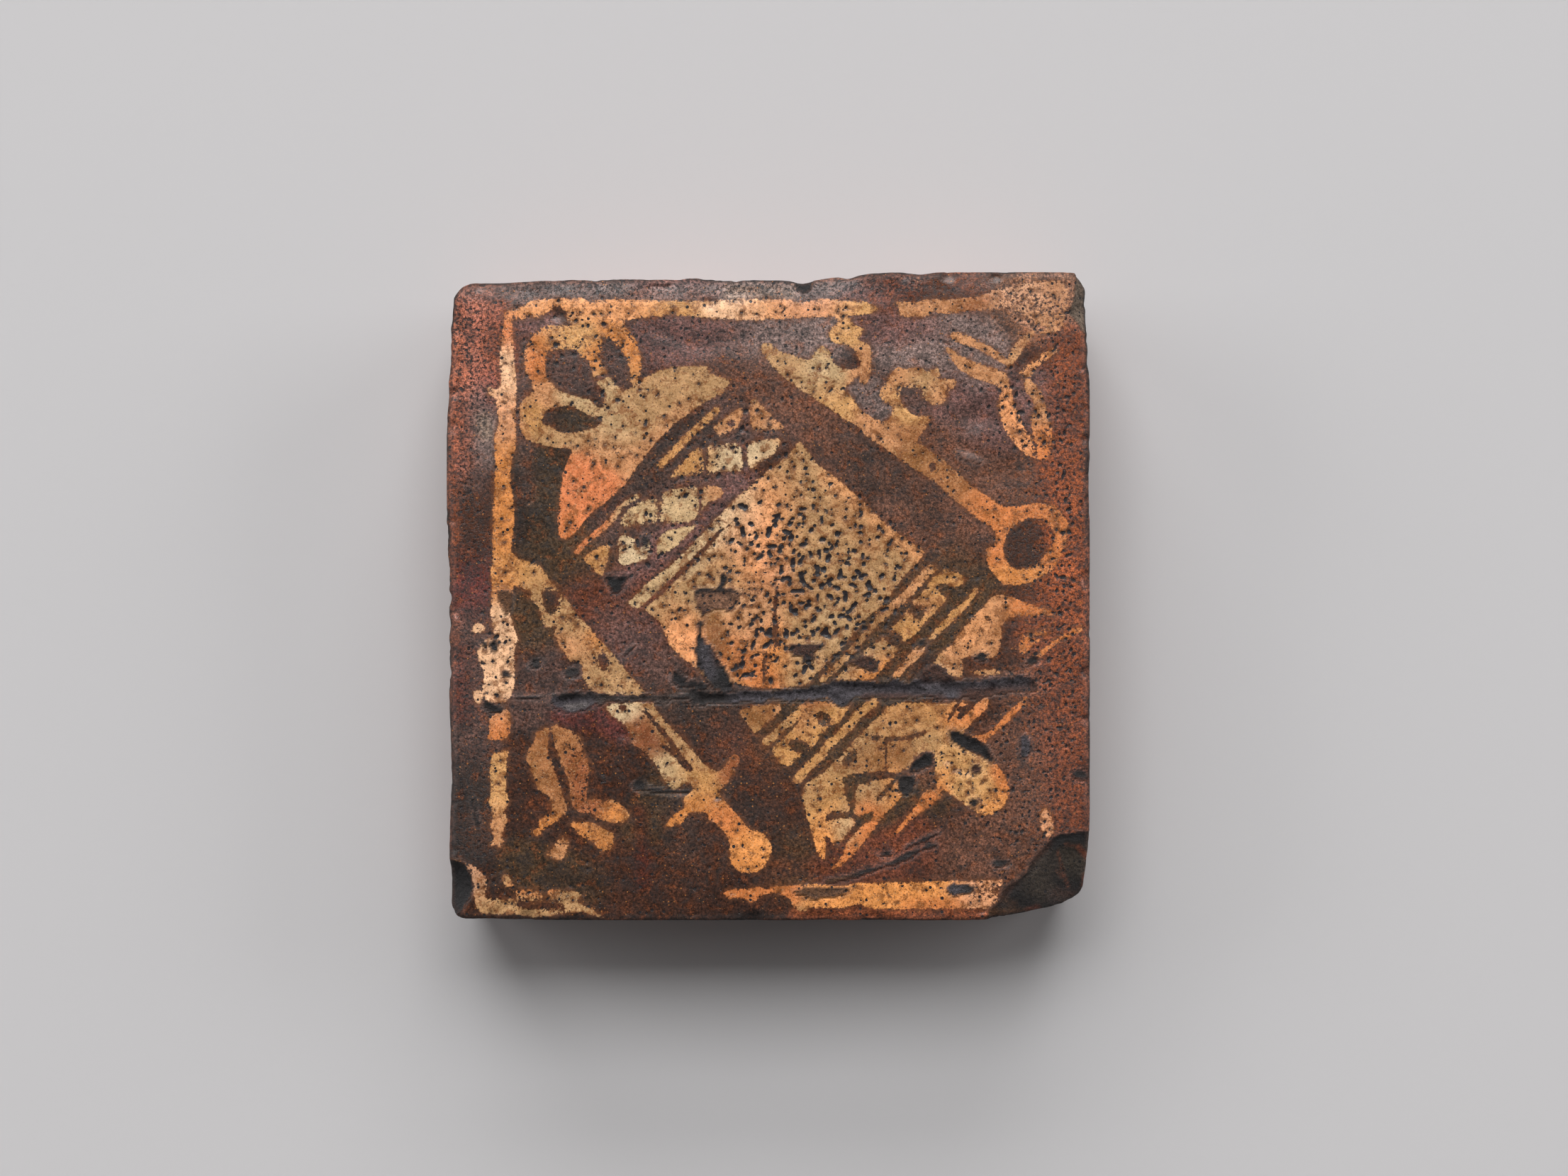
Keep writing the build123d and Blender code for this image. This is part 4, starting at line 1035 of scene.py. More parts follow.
# %% Tones of the slip
SLIP_TONES = {
    "straw": "#bc8f60", "cream": "#cfac7e", "chalk": "#dcbe94", "peach": "#eaa274", "pale": "#fcc598",
    "gold": "#ca8f52", "amber": "#d88642", "orange": "#d67c40", "salmon": "#e78450", "flame": "#ffa96e",
    "tan": "#ce8e5e", "brown": "#9a6436", "rose": "#d69c76", "honey": "#f29c52", "melon": "#efa268",
    "chestnut": "#6e3c22", "russet": "#9c5630", "wheat": "#dea466", "clay": "#ae7042",
}
SLIP_STROKES = {
    "melon": [(-52, 57.6, -45, 58.6, 2.5), (-43, 58.5, -24, 58.5, 2.5), (-3, 58.3, 2, 58.3, 2),
        (12, 24, 20, 17.5, 1.6), (22, 15, 31, 8, 1.6), (43, -5, 41, -9, 2.5),
        (41, -22, 43.6, -21.4, 1.4), (52, 46, 57, 49.5, 1.5)],
    "gold": [(-22, 58.5, -15, 58.5, 2.5), (-48.5, 38, -48, 34, 2), (-10, 37.7, -22, 26.5, 1.2),
        (-16, 27, -13, 28, 2.5), (-35, 7, -34, 9, 2), (34, 3.4, 39, 3.6, 1.6), (33, 0.6, 34, -0.6, 2),
        (26, -7.4, 30, -6, 2), (35, -6, 41, 0, 1), (3, -32, 14, -23, 4), (6, -37, 20, -22, 1.2),
        (24, -24, 34, -24, 4), (9, -44, 12, -38, 3), (-54, 6, -46, 4, 3), (-16, -37, -12, -40, 3)],
    "pale": [(-12, 58.3, -3, 58.3, 2.5), (-53, 49, -53, 42, 2.5), (-54, -6, -55, -20, 4),
        (-4, 16, -6, 11, 3)],
    "peach": [(4, 58.3, 14, 58.5, 3), (-53, 40, -53, 34, 2.5), (0, 7, 2, 4, 2), (-4, -1, -2, -6, 3),
        (41, -60.5, 46, -60, 3), (56, -44, 57, -48, 2)],
    "wheat": [(16, 58.5, 22, 58, 2.5), (-54.8, -33, -55, -42, 2.5), (-44, 53, -37, 53, 2.5),
        (36, -33, 42, -40, 3.4), (14, 52, 18, 56, 2.5), (12, 40, 16, 38, 2), (25, 41, 29, 37, 2)],
    "tan": [(27, 58.5, 35, 58.8, 3), (54, 54, 60, 56, 3), (-53.5, 35, -53.5, 31, 1.8),
        (-55, -44, -55, -50, 2.5), (-48, 41, -44, 41, 2), (-33, 31, -29, 28, 2.5),
        (-17, 38, -28, 26, 1.8), (-5, 36, 2, 35, 2.5), (-9, 34, -7, 36, 2), (-11, 21, -10, 20, 2),
        (-7, -6, -3, -9, 2), (-19, -3, -17, -4, 2), (25, -2, 32, 4.6, 1.2), (30, -3, 33, -1, 1.2),
        (26, -15, 30, -11, 1), (46, -2, 44, -5, 3), (46, -10, 40, -11, 3), (1, -25, 3, -23, 1),
        (7, -27, 9, -24, 1.4), (19, 48, 19.5, 44, 2), (20, 36.5, 22, 36.5, 2), (24, 42, 28, 46, 2),
        (35, 43, 36, 41, 2), (20, 35, 24, 32, 2.5), (38, 52.5, 46, 49, 2), (38, 48, 47, 44, 2),
        (54, 41, 56, 36, 2), (-42, -10, -38, -11, 2.5), (-42, -51, -43, -52, 2)],
    "clay": [(37, 58.5, 44, 59, 3), (58, 62, 60, 56, 2), (-50, 33, -49, 31.6, 1.2),
        (14, 18, 21, 10, 1.6), (-7, 5, 8, -1, 2), (47, -11, 46, -6, 1.2), (24, -25, 31, -24.4, 2),
        (27, 33, 31, 33, 2), (34, 24, 40, 20, 2.6), (-47, -29, -43, -41, 2.5),
        (-42, -28, -40, -31, 1.5)],
    "rose": [(48, 60, 60, 59, 5), (-60, -56, -59, -60, 2)],
    "russet": [(40, 58, 44, 60, 1.5), (8, -22, 12, -22, 1), (-27.5, -26.5, -23.5, -31, 2),
        (-9, -38, -6.5, -33, 1.5), (-39, -33, -38, -38, 2), (-38, -42, -35, -43, 2)],
    "salmon": [(-53, 56, -53, 52, 2), (-39, 24, -39, 14, 4), (-33, 22, -36, 19, 3)],
    "amber": [(-53.5, 30, -53.5, 25, 2.5), (-54, 22, -54, 16, 2.5), (-54, 13, -54, 2, 3),
        (-33, 54, -27.5, 50, 2), (-26.8, 49, -26.8, 45, 1.5), (-35, 47, -35, 50, 2),
        (0, -8, 2, -13, 2.5), (24, -14, 20, -16, 2), (25, -38, 26, -41, 2), (36, -36, 35, -38, 1.5),
        (46, 4, 54, 3.5, 2), (-36, -9, -35, -10, 1.5), (-19, -45, -14, -42, 2),
        (-7, -54, -1, -55.5, 1.5), (-44, -45, -47, -48, 1.4), (-33, -44, -31, -44, 1.4),
        (-38, -47, -33, -50, 1.6)],
    "orange": [(-54.6, -24, -54.6, -29, 2.5), (-48, 46, -46, 52, 2.5), (-41, 13, -40, 16, 2),
        (-7, -11, 0, -17, 2.5), (50, -2, 58, -4, 2), (53, -8, 60, -8, 3), (14, -54, 20, -47, 2),
        (22, -46, 20, -43, 2), (47, -35.6, 48, -39, 1.5), (37, -25, 43, -22, 2), (43, -29, 52, -21, 1.5),
        (26, -47, 35, -40, 1.5), (-8, -60.5, 4, -60, 2), (28, -62.6, 38, -62.6, 1.4),
        (42, 19, 47, 16, 2.5), (50, 17.5, 59, 16, 2), (60, 12, 58, 7, 2), (46, 8, 46, 12, 2),
        (56, 33, 55.5, 29, 2), (-11, -43, -7, -47, 2.5), (-52, -60, -44, -60, 1.2)],
    "cream": [(-42, 41, -36, 39.5, 1.5), (-32, 34, -33, 42, 3), (-27, 17, -16, 19, 3),
        (-20, 11.5, -17, 13, 2), (-26, 0, -12, 13, 2), (12, -4, 15, -8, 2.5), (14, -46, 16, -48, 2),
        (9, 46, 12, 47, 2.5), (-22, -34, -19, -37, 2.5)],
    "straw": [(-47, 32, -40, 31.6, 1.8), (-30, 38, -12, 43, 6), (2, 25, 6, 28, 4), (8, 20, 22, 8, 7),
        (12, 0, 18, -4, 5), (-19, -1, -12, 3, 4), (-13, 8, -8, 6, 3), (-8, 4, -3, -4, 3),
        (5, -15, 9, -13, 3), (8, -10, 14, -8, 4), (17, -13, 23, -10, 3), (0, -29, 4, -26, 1),
        (8, -40, 22, -26, 3), (28, -26, 33, -29, 3), (19, -40, 24, -39, 2.5), (0, 49.5, 6, 46, 3),
        (9, 42, 12, 41, 2), (30, 45, 34, 44, 2), (-46, 2, -40, -5, 3), (-36, -12, -29, -17, 3),
        (-20, -27, -14, -33, 2), (-58, -62, -40, -63, 3)],
    "chalk": [(-9, 28, -2, 29, 3), (-28, 9, -26, 8, 2.5), (-16, 7, -4, 20, 2.4),
        (-31, -23, -29, -24, 2)],
    "flame": [(0, 20, -4, 8, 5), (-18, -6, -15, -10, 2.5), (49, 40, 52, 31, 2)],
    "brown": [(-9, -9, -7, -12, 1.4), (-11.6, -5, -10.6, -9.6, 1.6), (12, -15, 24, -3, 1.1),
        (-4, -24, 0, -24, 1.8), (20, -33, 26, -31, 3), (29, 28.6, 33, 25, 2.2),
        (-48, -34, -46, -38, 1.2), (-36, -47, -33, -49, 1.6)],
    "chestnut": [(-11, -7, -10, -10.4, 1.2), (-25, -28.8, -22.6, -30.6, 1.6)],
    "honey": [(10, -52, 12, -46, 2.5), (44, -43, 47, -41, 1.6), (12, -60.4, 27, -60.8, 3),
        (28, -59.6, 38, -59.6, 1.8), (-5, -50, -3, -53, 3)],
}
slip_tone = painted(SLIP_TONES, "straw", SLIP_STROKES)
print("slip: mean linear colour", slip_tone.mean(0).round(3))

# %% [markdown]
# The clay is dark umber at heart. It is olive and plum under thick glaze, and rust to terracotta at the
# edges, where feet have taken the glaze off. A lilac grey over the upper part, and pale strokes on the top
# and left margins, are painted sheen of the glaze. Near-black strokes paint shade along the edges and in a
# dent.

# %% Tones of the clay
CLAY_TONES = {
    "umber": "#41261a", "olive": "#3e2f21", "plum": "#5b423a", "rust": "#8a4a2d", "oxblood": "#501f15",
    "moss": "#4a3623", "brick": "#78422c", "wine": "#61312c", "blackish_and_shade": "#241a17", "mauve_and_sheen": "#806a63",
    "earth": "#6a4636", "body": "#7c4a34", "ginger": "#ad5a30", "blush": "#b07d60", "sienna": "#643625",
    "bistre": "#43322a", "mortar_and_sheen": "#a9917a", "terracotta_and_sheen": "#ab6650", "heather": "#71504a",
}
CLAY_STROKES = {
    # terracotta_and_sheen: red clay at the north-west; its second stroke paints a sheen on the left margin.
    "terracotta_and_sheen": [(-61, 58, -60, 44, 5), (-63, 40, -62.6, 27, 2.4)],
    "rust": [(-63.5, 56, -63, 30, 2), (59.6, 52, 60.6, 40, 2), (60, 24, 60, -20, 3.2),
        (58, 38, 60, 26, 2.6), (6, -65.5, 44, -65.5, 1.2)],
    "brick": [(-56, 53, -56, 48, 2), (40, 63, 42, 62, 3), (-64.3, 40, -64.6, 10, 1.6),
        (-64.5, 18, -64.5, 4, 1.2), (65, 10, 65.3, -8, 1.2), (62, 52, 62, 36, 4), (61, -16, 61, -42, 5),
        (57, -28, 57, -8, 4), (-64, -4, -64.4, -14, 1.2)],
    "wine": [(-57, 44, -57, 40, 2), (-60, 4, -60, 0, 4), (-42, -24, -30, -27, 2)],
    "umber": [(-62.5, 63, -58, 62.5, 2.5), (32, 63.5, 47, 62.6, 3), (47, 58, 49, 55, 1.5),
        (-60.5, 20, -60, 8, 3), (-59, -44, -58, -50, 2), (-46, -44, -30, -52, 3), (53, 11, 53, 9, 3),
        (-22, -28, -12, -30, 3), (-7, -34, -4, -42, 3), (2, -38, 2, -48, 5), (-14, -52, -18, -60, 5),
        (-36, -30, -32, -36, 4), (-14, -34, -12, -37, 2), (-50, -30, -50, -44, 2),
        (-30, -63.5, -10, -63.5, 2.5), (-34, -56, -10, -58, 3), (30, -2, 22, -12, 2),
        (50, -13, 45, -13, 1.8), (46, -22, 38, -24, 1.5)],
    "plum": [(-52, 63, -30, 62.5, 2.5), (0, 62.8, 14, 62.8, 2.5), (56.6, 63.6, 58, 63.2, 1.2),
        (-60.5, 27, -60, 23, 2.5), (-60, -6, -60, -30, 4), (-49, 20, -49, 44, 1.5),
        (-40, 46, -30, 47, 3), (-48, 50, -49, 40, 1.5), (-32, 12, -6, 33, 3), (-10, 38, 4, 33, 2),
        (40, 36, 41, 34, 2.5), (28, 40.6, 30, 39.4, 2), (-22, -12, -30, -4, 4), (-44, -14, -48, -22, 4)],
    "heather": [(-26, 62.8, -10, 62.8, 2), (16, 61.6, 22, 61, 1.6), (-50, 55.4, -45, 55.6, 1.4),
        (-22, 52, -8, 53, 4), (24, 52, 34, 54, 2), (-30, 3, -6, 24, 2), (40, 40, 44, 36, 5),
        (54, 42, 57, 36, 3), (21, 55, 26, 54, 2.4), (-28, -6, -26, -8, 4)],
    # mauve_and_sheen: clay greyed by painted sheen of the glaze, over the upper part and on the left margin.
    "mauve_and_sheen": [(-10, 62.6, 6, 62.6, 2), (-58.6, 40, -57.6, 30, 2.8), (-4, 53, 10, 53.5, 4),
        (24, 49.6, 32, 49.6, 2.2), (36, 54, 44, 53, 3), (30, 49, 42, 47, 3), (42, 44, 46, 50, 2),
        (19.6, 41.6, 22, 38.6, 2.2)],
    # mortar_and_sheen: on the face, a painted sheen along the top margin and a painted glint on the left
    # margin; on the sides, mortar.
    "mortar_and_sheen": [(-8, 61.6, 4, 61.6, 1.3), (-58, 36, -57.4, 33, 1.2)],
    "earth": [(-32, 61.8, 4, 61.6, 1), (-8, 47, 2, 41, 4), (6, 36, 14, 30, 4), (30, 19, 40, 11, 5),
        (22, 26, 26, 18, 2), (36, 30, 48, 22, 4), (52, -18, 52, -40, 5), (48, -46, 42, -50, 6),
        (32, -38, 30, -36, 2)],
    "sienna": [(22, 63, 30, 63, 2.5), (65, -20, 65.3, -45, 1.2), (30, -50, 18, -54, 4),
        (-14, -4, -34, 0, 5), (-8, -30, -2, -34, 4), (4, -55, 22, -57, 2)],
    "blush": [(50, 60, 57, 59, 4)],
    "oxblood": [(-62.5, -12, -62, -24, 2), (-26, -44, -25.4, -58, 1.4)],
    # blackish_and_shade: blackish clay in places, painted shade along the tile's edges, and a painted shaded
    # dent at the left border.
    "blackish_and_shade": [(-62.5, -38, -61, -52, 3), (-50.4, 24, -50.4, 12, 1.4), (65.6, 36, 65.4, 12, 0.9),
        (-57.6, -21.8, -54.4, -23.4, 1.0), (-5, -41, -2, -46, 1.8), (-44, -56, -36, -58, 1.6),
        (-56, -65.5, -2, -65.5, 1.2), (20, 65.8, -50, 65.4, 0.7), (-65, -30, -65, -56, 1),
        (-65, 60, -65.4, 30, 0.8), (-65.2, 16, -65.4, -30, 0.7)],
    "bistre": [(-60, -36, -60, -50, 3), (-26, 23, -12, 34, 2.5), (16, 30, 30, 18, 3),
        (-18, -24, -8, -26, 4), (-12, -29, -7, -35, 3), (-7, -39, 0, -46, 3), (-20, -42, -16, -52, 3)],
    "olive": [(-47, 26, -46, 12, 4), (-39, 36, -36, 34, 2.5)],
    "moss": [(-36, 8, -44, 8, 4), (38, 8, 42, 4, 3), (8, -19, 38, 3, 4.5), (0, -32, 22, -22, 5),
        (16, -38, 20, -44, 3), (34, -42, 31, -39, 2.4), (24, -44, 27, -40, 2), (4, -50, 6, -56, 3),
        (-26, -48, -22, -40, 3), (-46, -8, -50, -4, 3), (-50, -54, -36, -57, 3), (44, -2, 36, -10, 2)],
    "ginger": [(59, 12, 60, 2, 2)],
}
clay_tone = painted(CLAY_TONES, "umber", CLAY_STROKES)
print("clay: mean linear colour", clay_tone.mean(0).round(3))

# %% [markdown]
# Breaks show the body, near black, with a few brown and reddish seams. Black strokes also paint the shadow
# in holes and under the upper rims of scars and the gouge. The large break's facets are painted darker or
# lighter by how they face the light, and pale and blue-grey strokes paint glints and sheen in the gouge.

# %% Tones of the breaks
BREAK_TONES = {
    "coal": "#2b2524", "ash": "#4c3e38", "moss": "#42362d", "ember": "#8e4424", "violet_and_sheen": "#4b454a",
    "bark": "#4a2c20", "pale": "#7a706c", "tawny": "#8c6146", "seam": "#74402a", "stone": "#776555",
    "lit_facet": "#52463a", "black_and_shadow": "#171314", "hide": "#694428",
}
BREAK_STROKES = {
    # The large break's facets: moss paints the shaded facet dark, and lit_facet paints the lit facet lighter.
    "moss": [(53, -58, 56, -55, 2.5), (55, -60, 57, -58, 2)],
    "lit_facet": [(61.4, -52.4, 62.6, -56, 1.6), (54.4, -57, 55.4, -61, 1.2)],
    "ash": [(57, -61.4, 60, -61.5, 1.3), (-34, -20.8, -21, -20.8, 1.5)],
    # black_and_shadow: painted shadow in holes, in a dent and under the upper rims of scars, the gouge and
    # the large break, and the darkest breaks.
    "black_and_shadow": [(57, -50, 60, -48.6, 1.2), (61, -49, 65, -48.6, 1.0), (50.6, -59, 53, -55, 0.7),
        (47, -63, 50, -60.6, 0.9), (58, -57, 60, -59.3, 0.8), (62.4, -57, 63, -60, 1.6),
        (-42, -20.4, -24, -20.4, 0.5), (-62.5, -56, -63, -62, 3), (7, 63, 7, 62, 2),
        (-15.4, 1.2, -12, 1.9, 0.7), (-12, 1.6, -6, 1.6, 0.6), (-9.4, 2, -9, 4.6, 0.8),
        (-13.4, -4, -14.2, -9, 0.8), (-15, -9, -13, -16.6, 0.6), (-10, -15, -7, -18.6, 1.0),
        (-19, -16, -13, -18, 1.2), (38, -28, 45, -33, 1.4), (-33, 4, -29, 1, 2), (30.4, -31, 33, -33, 2),
        (-58, -21, -54, -24, 1.6)],
    "seam": [(60.4, -50.4, 63, -51.1, 0.25), (58.9, -52, 59.7, -55, 0.18),
        (59.7, -55, 61.2, -59.4, 0.22), (58.8, -56, 60, -57.4, 0.18)],
    "ember": [(63, -51.1, 64.8, -53, 0.35), (64.6, -57, 64.4, -60.6, 0.4),
        (53, -64.2, 54.8, -63.6, 0.6)],
    "hide": [(48, -61.6, 49.8, -62.6, 0.7), (45.4, -64, 52, -64.6, 0.8), (-54, 1, -53.4, -3, 2),
        (6, -60, 15, -60, 2)],
    "coal": [(50, -62, 62, -64, 2.4), (-15.6, -20, -9, -20.6, 1.4), (-56, -8.6, -53, -16.4, 3),
        (27, -36, 29, -39, 1.6)],
    "bark": [(58.4, -61, 63, -61.6, 1.2), (46, -62.8, 57, -50, 0.7), (20, -20.6, 35, -20.6, 0.8),
        (40, -20, 54, -19, 1.2), (-14.8, -2, -13, -3.4, 0.7), (-11, -11, -10, -13.6, 0.8),
        (5, -10.4, 10, -11, 1.0), (17, -13.6, 21.6, -13.6, 1.2), (32, -16, 37, -16, 1.2),
        (42, -34, 44, -35, 1.4)],
    # violet_and_sheen: the blue-grey floor of the gouge and of some scars, lightened in the gouge by a
    # painted bluish sheen.
    "violet_and_sheen": [(-43, -21.8, -36, -21.6, 1.2), (-7, -20.4, 14, -19.4, 1.6), (16, -18.6, 30, -18.4, 1.2),
        (38, -17.8, 52, -17.6, 1.0), (30, -18.6, 38, -19, 1.3), (-13, -10.6, -12, -15, 1.4),
        (52.2, -29, 52.2, -32, 1), (34, -59.6, 37, -60, 1.5)],
    # pale: painted glints on the upper rim and the lower lip of the gouge's left part.
    "pale": [(-41, -22.4, -37, -22, 0.5), (-44, -19.4, -41, -19.4, 0.5)],
    "stone": [(63, 62, 63.5, 54, 2)],
    "tawny": [(-13.4, -0.9, -7, -0.9, 1.1)],
}
is_broken = np.r_[broken, np.zeros(len(points) - len(face))][:, None]
clay_tone += (painted(BREAK_TONES, "coal", BREAK_STROKES) - clay_tone) * is_broken
print("broken points:", int(is_broken.sum()))

# %% [markdown]
# Off the face there is no glaze. The body shows brown-red, with patches of umber, mortar and rust. The arris
# is darkened in places, partly for its dark clay and partly as painted shade on the steep edge.

# %% Tones of the sides, the bed and the arris
# Each patch is its tone, its size, the noise at which it starts and is whole, and its strength.
PATCHES = [("umber", 24, 0.1, 0.7, 0.6), ("mortar_and_sheen", 17, 0.3, 0.65, 0.5), ("rust", 9, 0.2, 0.7, 0.5)]
side_shares = np.repeat(SIDE_SHARES, len(columns))
off_face = np.r_[ramp(1.2, 0.0, inset) * 0.2, ramp(1.0, 0.8, side_shares), np.ones(len(bed))]
clay_tone += (linear(CLAY_TONES["body"]) - clay_tone) * off_face[:, None]
for tone, cell, start, end, amount in PATCHES:
    patches = amount * off_face * ramp(start, end, unevenness(points, cell, 3, 3.0 * cell))
    clay_tone += (linear(CLAY_TONES[tone]) - clay_tone) * patches[:, None]
# The arris is darkened: partly its dark clay, partly painted shade on the steep edge.
arris_dark_and_shade = np.r_[ramp(0.9, 0.1, inset), ramp(0.8, 0.985, side_shares), np.zeros(len(bed))]
arris_dark_and_shade *= np.clip(0.55 + 0.9 * unevenness(points, 5, 2, 31.0), 0, 1)
clay_tone += (linear(CLAY_TONES["blackish_and_shade"]) - clay_tone) * arris_dark_and_shade[:, None]
print("sides and bed: mean linear colour", clay_tone[len(face):].mean(0).round(3))

# %% [markdown]
# ## Maps for the material
# Plain numbers go on the mesh as attributes, which the material reads by name. On the sides and the bed
# there is no slip, so they get a value well outside it.

# %% Attributes
# Each stroke is x1, y1, x2, y2, reach and strength. In these places the clay's surface has gone to grains.
GRANULAR = [
    (-61, 56, -60, 40, 6, 1.0), (-62, 40, -62, 20, 3, 0.6), (61, 40, 60, -42, 7, 0.5),
    (52, 60, 62, 58, 6, 0.5), (-50, 63, 30, 63, 2.5, 0.8), (-40, 52, 10, 53, 4, 0.35),
    (-61, 10, -61, -50, 4, 0.5),
]
# In these places the slip is worn through, and elsewhere it is worn a little.
WORN = [
    (50, 60, 60, 58, 6, 0.4), (-56, -6, -56, -20, 3, 0.27), (-56, -60, -42, -63, 3, 0.36),
    (50, 46, 57, 49, 3, 0.3), (56, 34, 56, 30, 2, 0.38), (42, -60, 46, -60, 3, 0.4),
    (-42, 54, -52, 57, 3, 0.3), (-44, -50, -36, -48, 3, 0.3), (0, -14, 2, -6, 4, 0.3),
    (50, 34, 54, 30, 3, 0.33), (-30, 10, -4, 34, 6, 0.3), (-45, 0, -30, -18, 4, 0.3),
    (-48, 48, -28, 52, 4, 0.3), (-40, -30, -36, -44, 5, 0.32), (52, -8, 60, -6, 4, 0.34),
    (24, 42, 36, 42, 4, 0.3),
]
WORN_ANYWHERE = 0.2


def on_mesh(name, values, elsewhere):
    """Writes one number per point: the values given for the face, and one number for the rest."""
    full = np.r_[values, np.full(len(points) - len(values), elsewhere)]
    tile_mesh.attributes.new(name, "FLOAT", "POINT").data.foreach_set("value", full.astype(np.float32))


def colour_on_mesh(name, values):
    """Writes one linear colour per point."""
    full = np.c_[values, np.ones(len(points))].astype(np.float32)
    tile_mesh.attributes.new(name, "FLOAT_COLOR", "POINT").data.foreach_set("color", full.ravel())


on_mesh("slip", np.minimum(slip, -np.maximum(gouge, chip)), -FAR)
on_mesh("pits", pits, -FAR)
on_mesh("broken", broken, 0.0)
on_mesh("granular", zone_amount(face, GRANULAR), 0.0)
on_mesh("worn", zone_amount(face, WORN, WORN_ANYWHERE), 0.0)
on_mesh("glazed", ramp(0.2, 1.6, inset) * (1 - dulled), 0.0)
colour_on_mesh("slip_tone", slip_tone)
colour_on_mesh("clay_tone", clay_tone)
print("attributes:", [attribute.name for attribute in tile_mesh.attributes])

# %% [markdown]
# ## Material: lead-glazed red earthenware, inlaid with white slip
# The body is iron-rich clay fired brown-red, sanded underneath. The slip is white clay that the glaze turns
# straw to orange. The glaze is a soft transparent lead glass of high index, now worn to a satin. It gives
# the eye a broad pale sheen on slopes that face the light, and small glints in the dents. Fractures are
# dull.

# %% Helper that adds a node
material = bpy.data.materials.new("lead_glazed_inlaid_earthenware")
material.use_nodes = True
tree = material.node_tree
tree.nodes.clear()


def add(kind, inputs=(), **settings):
    """Adds one node with its settings and returns its first output in use. Its inputs are values or links:
    by name in a dict, or in a list in the order of the sockets that the settings leave in use."""
    new = tree.nodes.new(kind)
    for name, value in settings.items():
        setattr(new, name, value)
    if isinstance(inputs, dict):
        pairs = [(new.inputs[name], value) for name, value in inputs.items()]
    else:
        pairs = zip([socket for socket in new.inputs if socket.enabled], inputs)
    for socket, value in pairs:
        if isinstance(value, bpy.types.NodeSocket):
            tree.links.new(value, socket)
        else:
            socket.default_value = value
    return next((output for output in new.outputs if output.enabled), new)


def colour(code):
    """A hex colour as a socket takes it."""
    return (*linear(code), 1.0)


print("material:", material.name)

# %% [markdown]
# Object coordinates are in metres. Times 1000 they are mm, so that a pattern's scale is 1 / its size in mm.
# Five noises share the work: specks of 0.3 mm, grain of 0.7 mm, stains of 2 mm, patches of 2.4 mm and
# clouds of 8 mm.

# %% Coordinates, maps and noises
metres = add("ShaderNodeTexCoord").node.outputs["Object"]
mm = add("ShaderNodeVectorMath", [metres, 1000.0], operation="SCALE")
maps = {name: add("ShaderNodeAttribute", attribute_name=name).node.outputs["Fac"]
        for name in ("slip", "pits", "broken", "granular", "worn", "glazed")}
slip_paint = add("ShaderNodeAttribute", attribute_name="slip_tone").node.outputs["Color"]
clay_paint = add("ShaderNodeAttribute", attribute_name="clay_tone").node.outputs["Color"]
specks = add("ShaderNodeTexNoise", {"Vector": mm, "Scale": 3.2, "Detail": 2.0, "Roughness": 0.6})
grain = add("ShaderNodeTexNoise", {"Vector": mm, "Scale": 1.5, "Detail": 5.0, "Roughness": 0.65})
stain = add("ShaderNodeTexNoise",
            {"Vector": mm, "Scale": 0.5, "Detail": 6.0, "Roughness": 0.72, "Distortion": 0.4})
patch = add("ShaderNodeTexNoise",
            {"Vector": mm, "Scale": 0.42, "Detail": 6.0, "Roughness": 0.68, "Distortion": 0.5})
cloud = add("ShaderNodeTexNoise", {"Vector": mm, "Scale": 0.13, "Detail": 6.0, "Roughness": 0.66})
print("maps:", list(maps))

# %% [markdown]
# Three kinds of node do nearly all of the rest. Map Range takes a value from one range to another, 0 to 1
# if none is given, and SMOOTH makes that a smooth step. Mix lays one colour over another by an amount from
# 0 to 1. Vector Math scales a colour's brightness. Most values of a noise lie from 0.38 to 0.62, so a
# brightness that follows a noise is stretched over that range.

# %% Settings that come again
SMOOTH = {"interpolation_type": "SMOOTHSTEP"}
NOISE_RANGE = (0.38, 0.62)
print("a noise mostly lies from", NOISE_RANGE[0], "to", NOISE_RANGE[1])

# %% [markdown]
# The slip's edge wobbles by about 0.3 mm with the grain and the patches. Where the slip is worn, and along
# its edges, the grain eats holes into it.

# %% Slip's edge
grain_wobble = add("ShaderNodeMath", [grain, 0.5], operation="SUBTRACT")
patch_wobble = add("ShaderNodeMath", [patch, 0.5], operation="SUBTRACT")
slip_edge = add("ShaderNodeMath", [grain_wobble, 1.3, maps["slip"]], operation="MULTIPLY_ADD")
slip_edge = add("ShaderNodeMath", [patch_wobble, slip_edge], operation="ADD")
edge_wear = add("ShaderNodeMapRange", [slip_edge, 0.9, -0.1, 0.0, 0.15])
wear = add("ShaderNodeMath", [maps["worn"], edge_wear], operation="ADD")
left_over = add("ShaderNodeMath", [grain, wear], operation="SUBTRACT")
whole = add("ShaderNodeMapRange", [left_over, 0.08, 0.13], **SMOOTH)
within_edge = add("ShaderNodeMapRange", [slip_edge, -0.07, 0.08], **SMOOTH)
slip_mask = add("ShaderNodeMath", [within_edge, whole], operation="MULTIPLY")
print("slip's mask:", slip_mask.node.name)

# %% [markdown]
# The larger pits are on the map. Pinholes are cells of a Voronoi pattern: half of the cells have none, and
# the others one of up to 0.35 mm in radius.

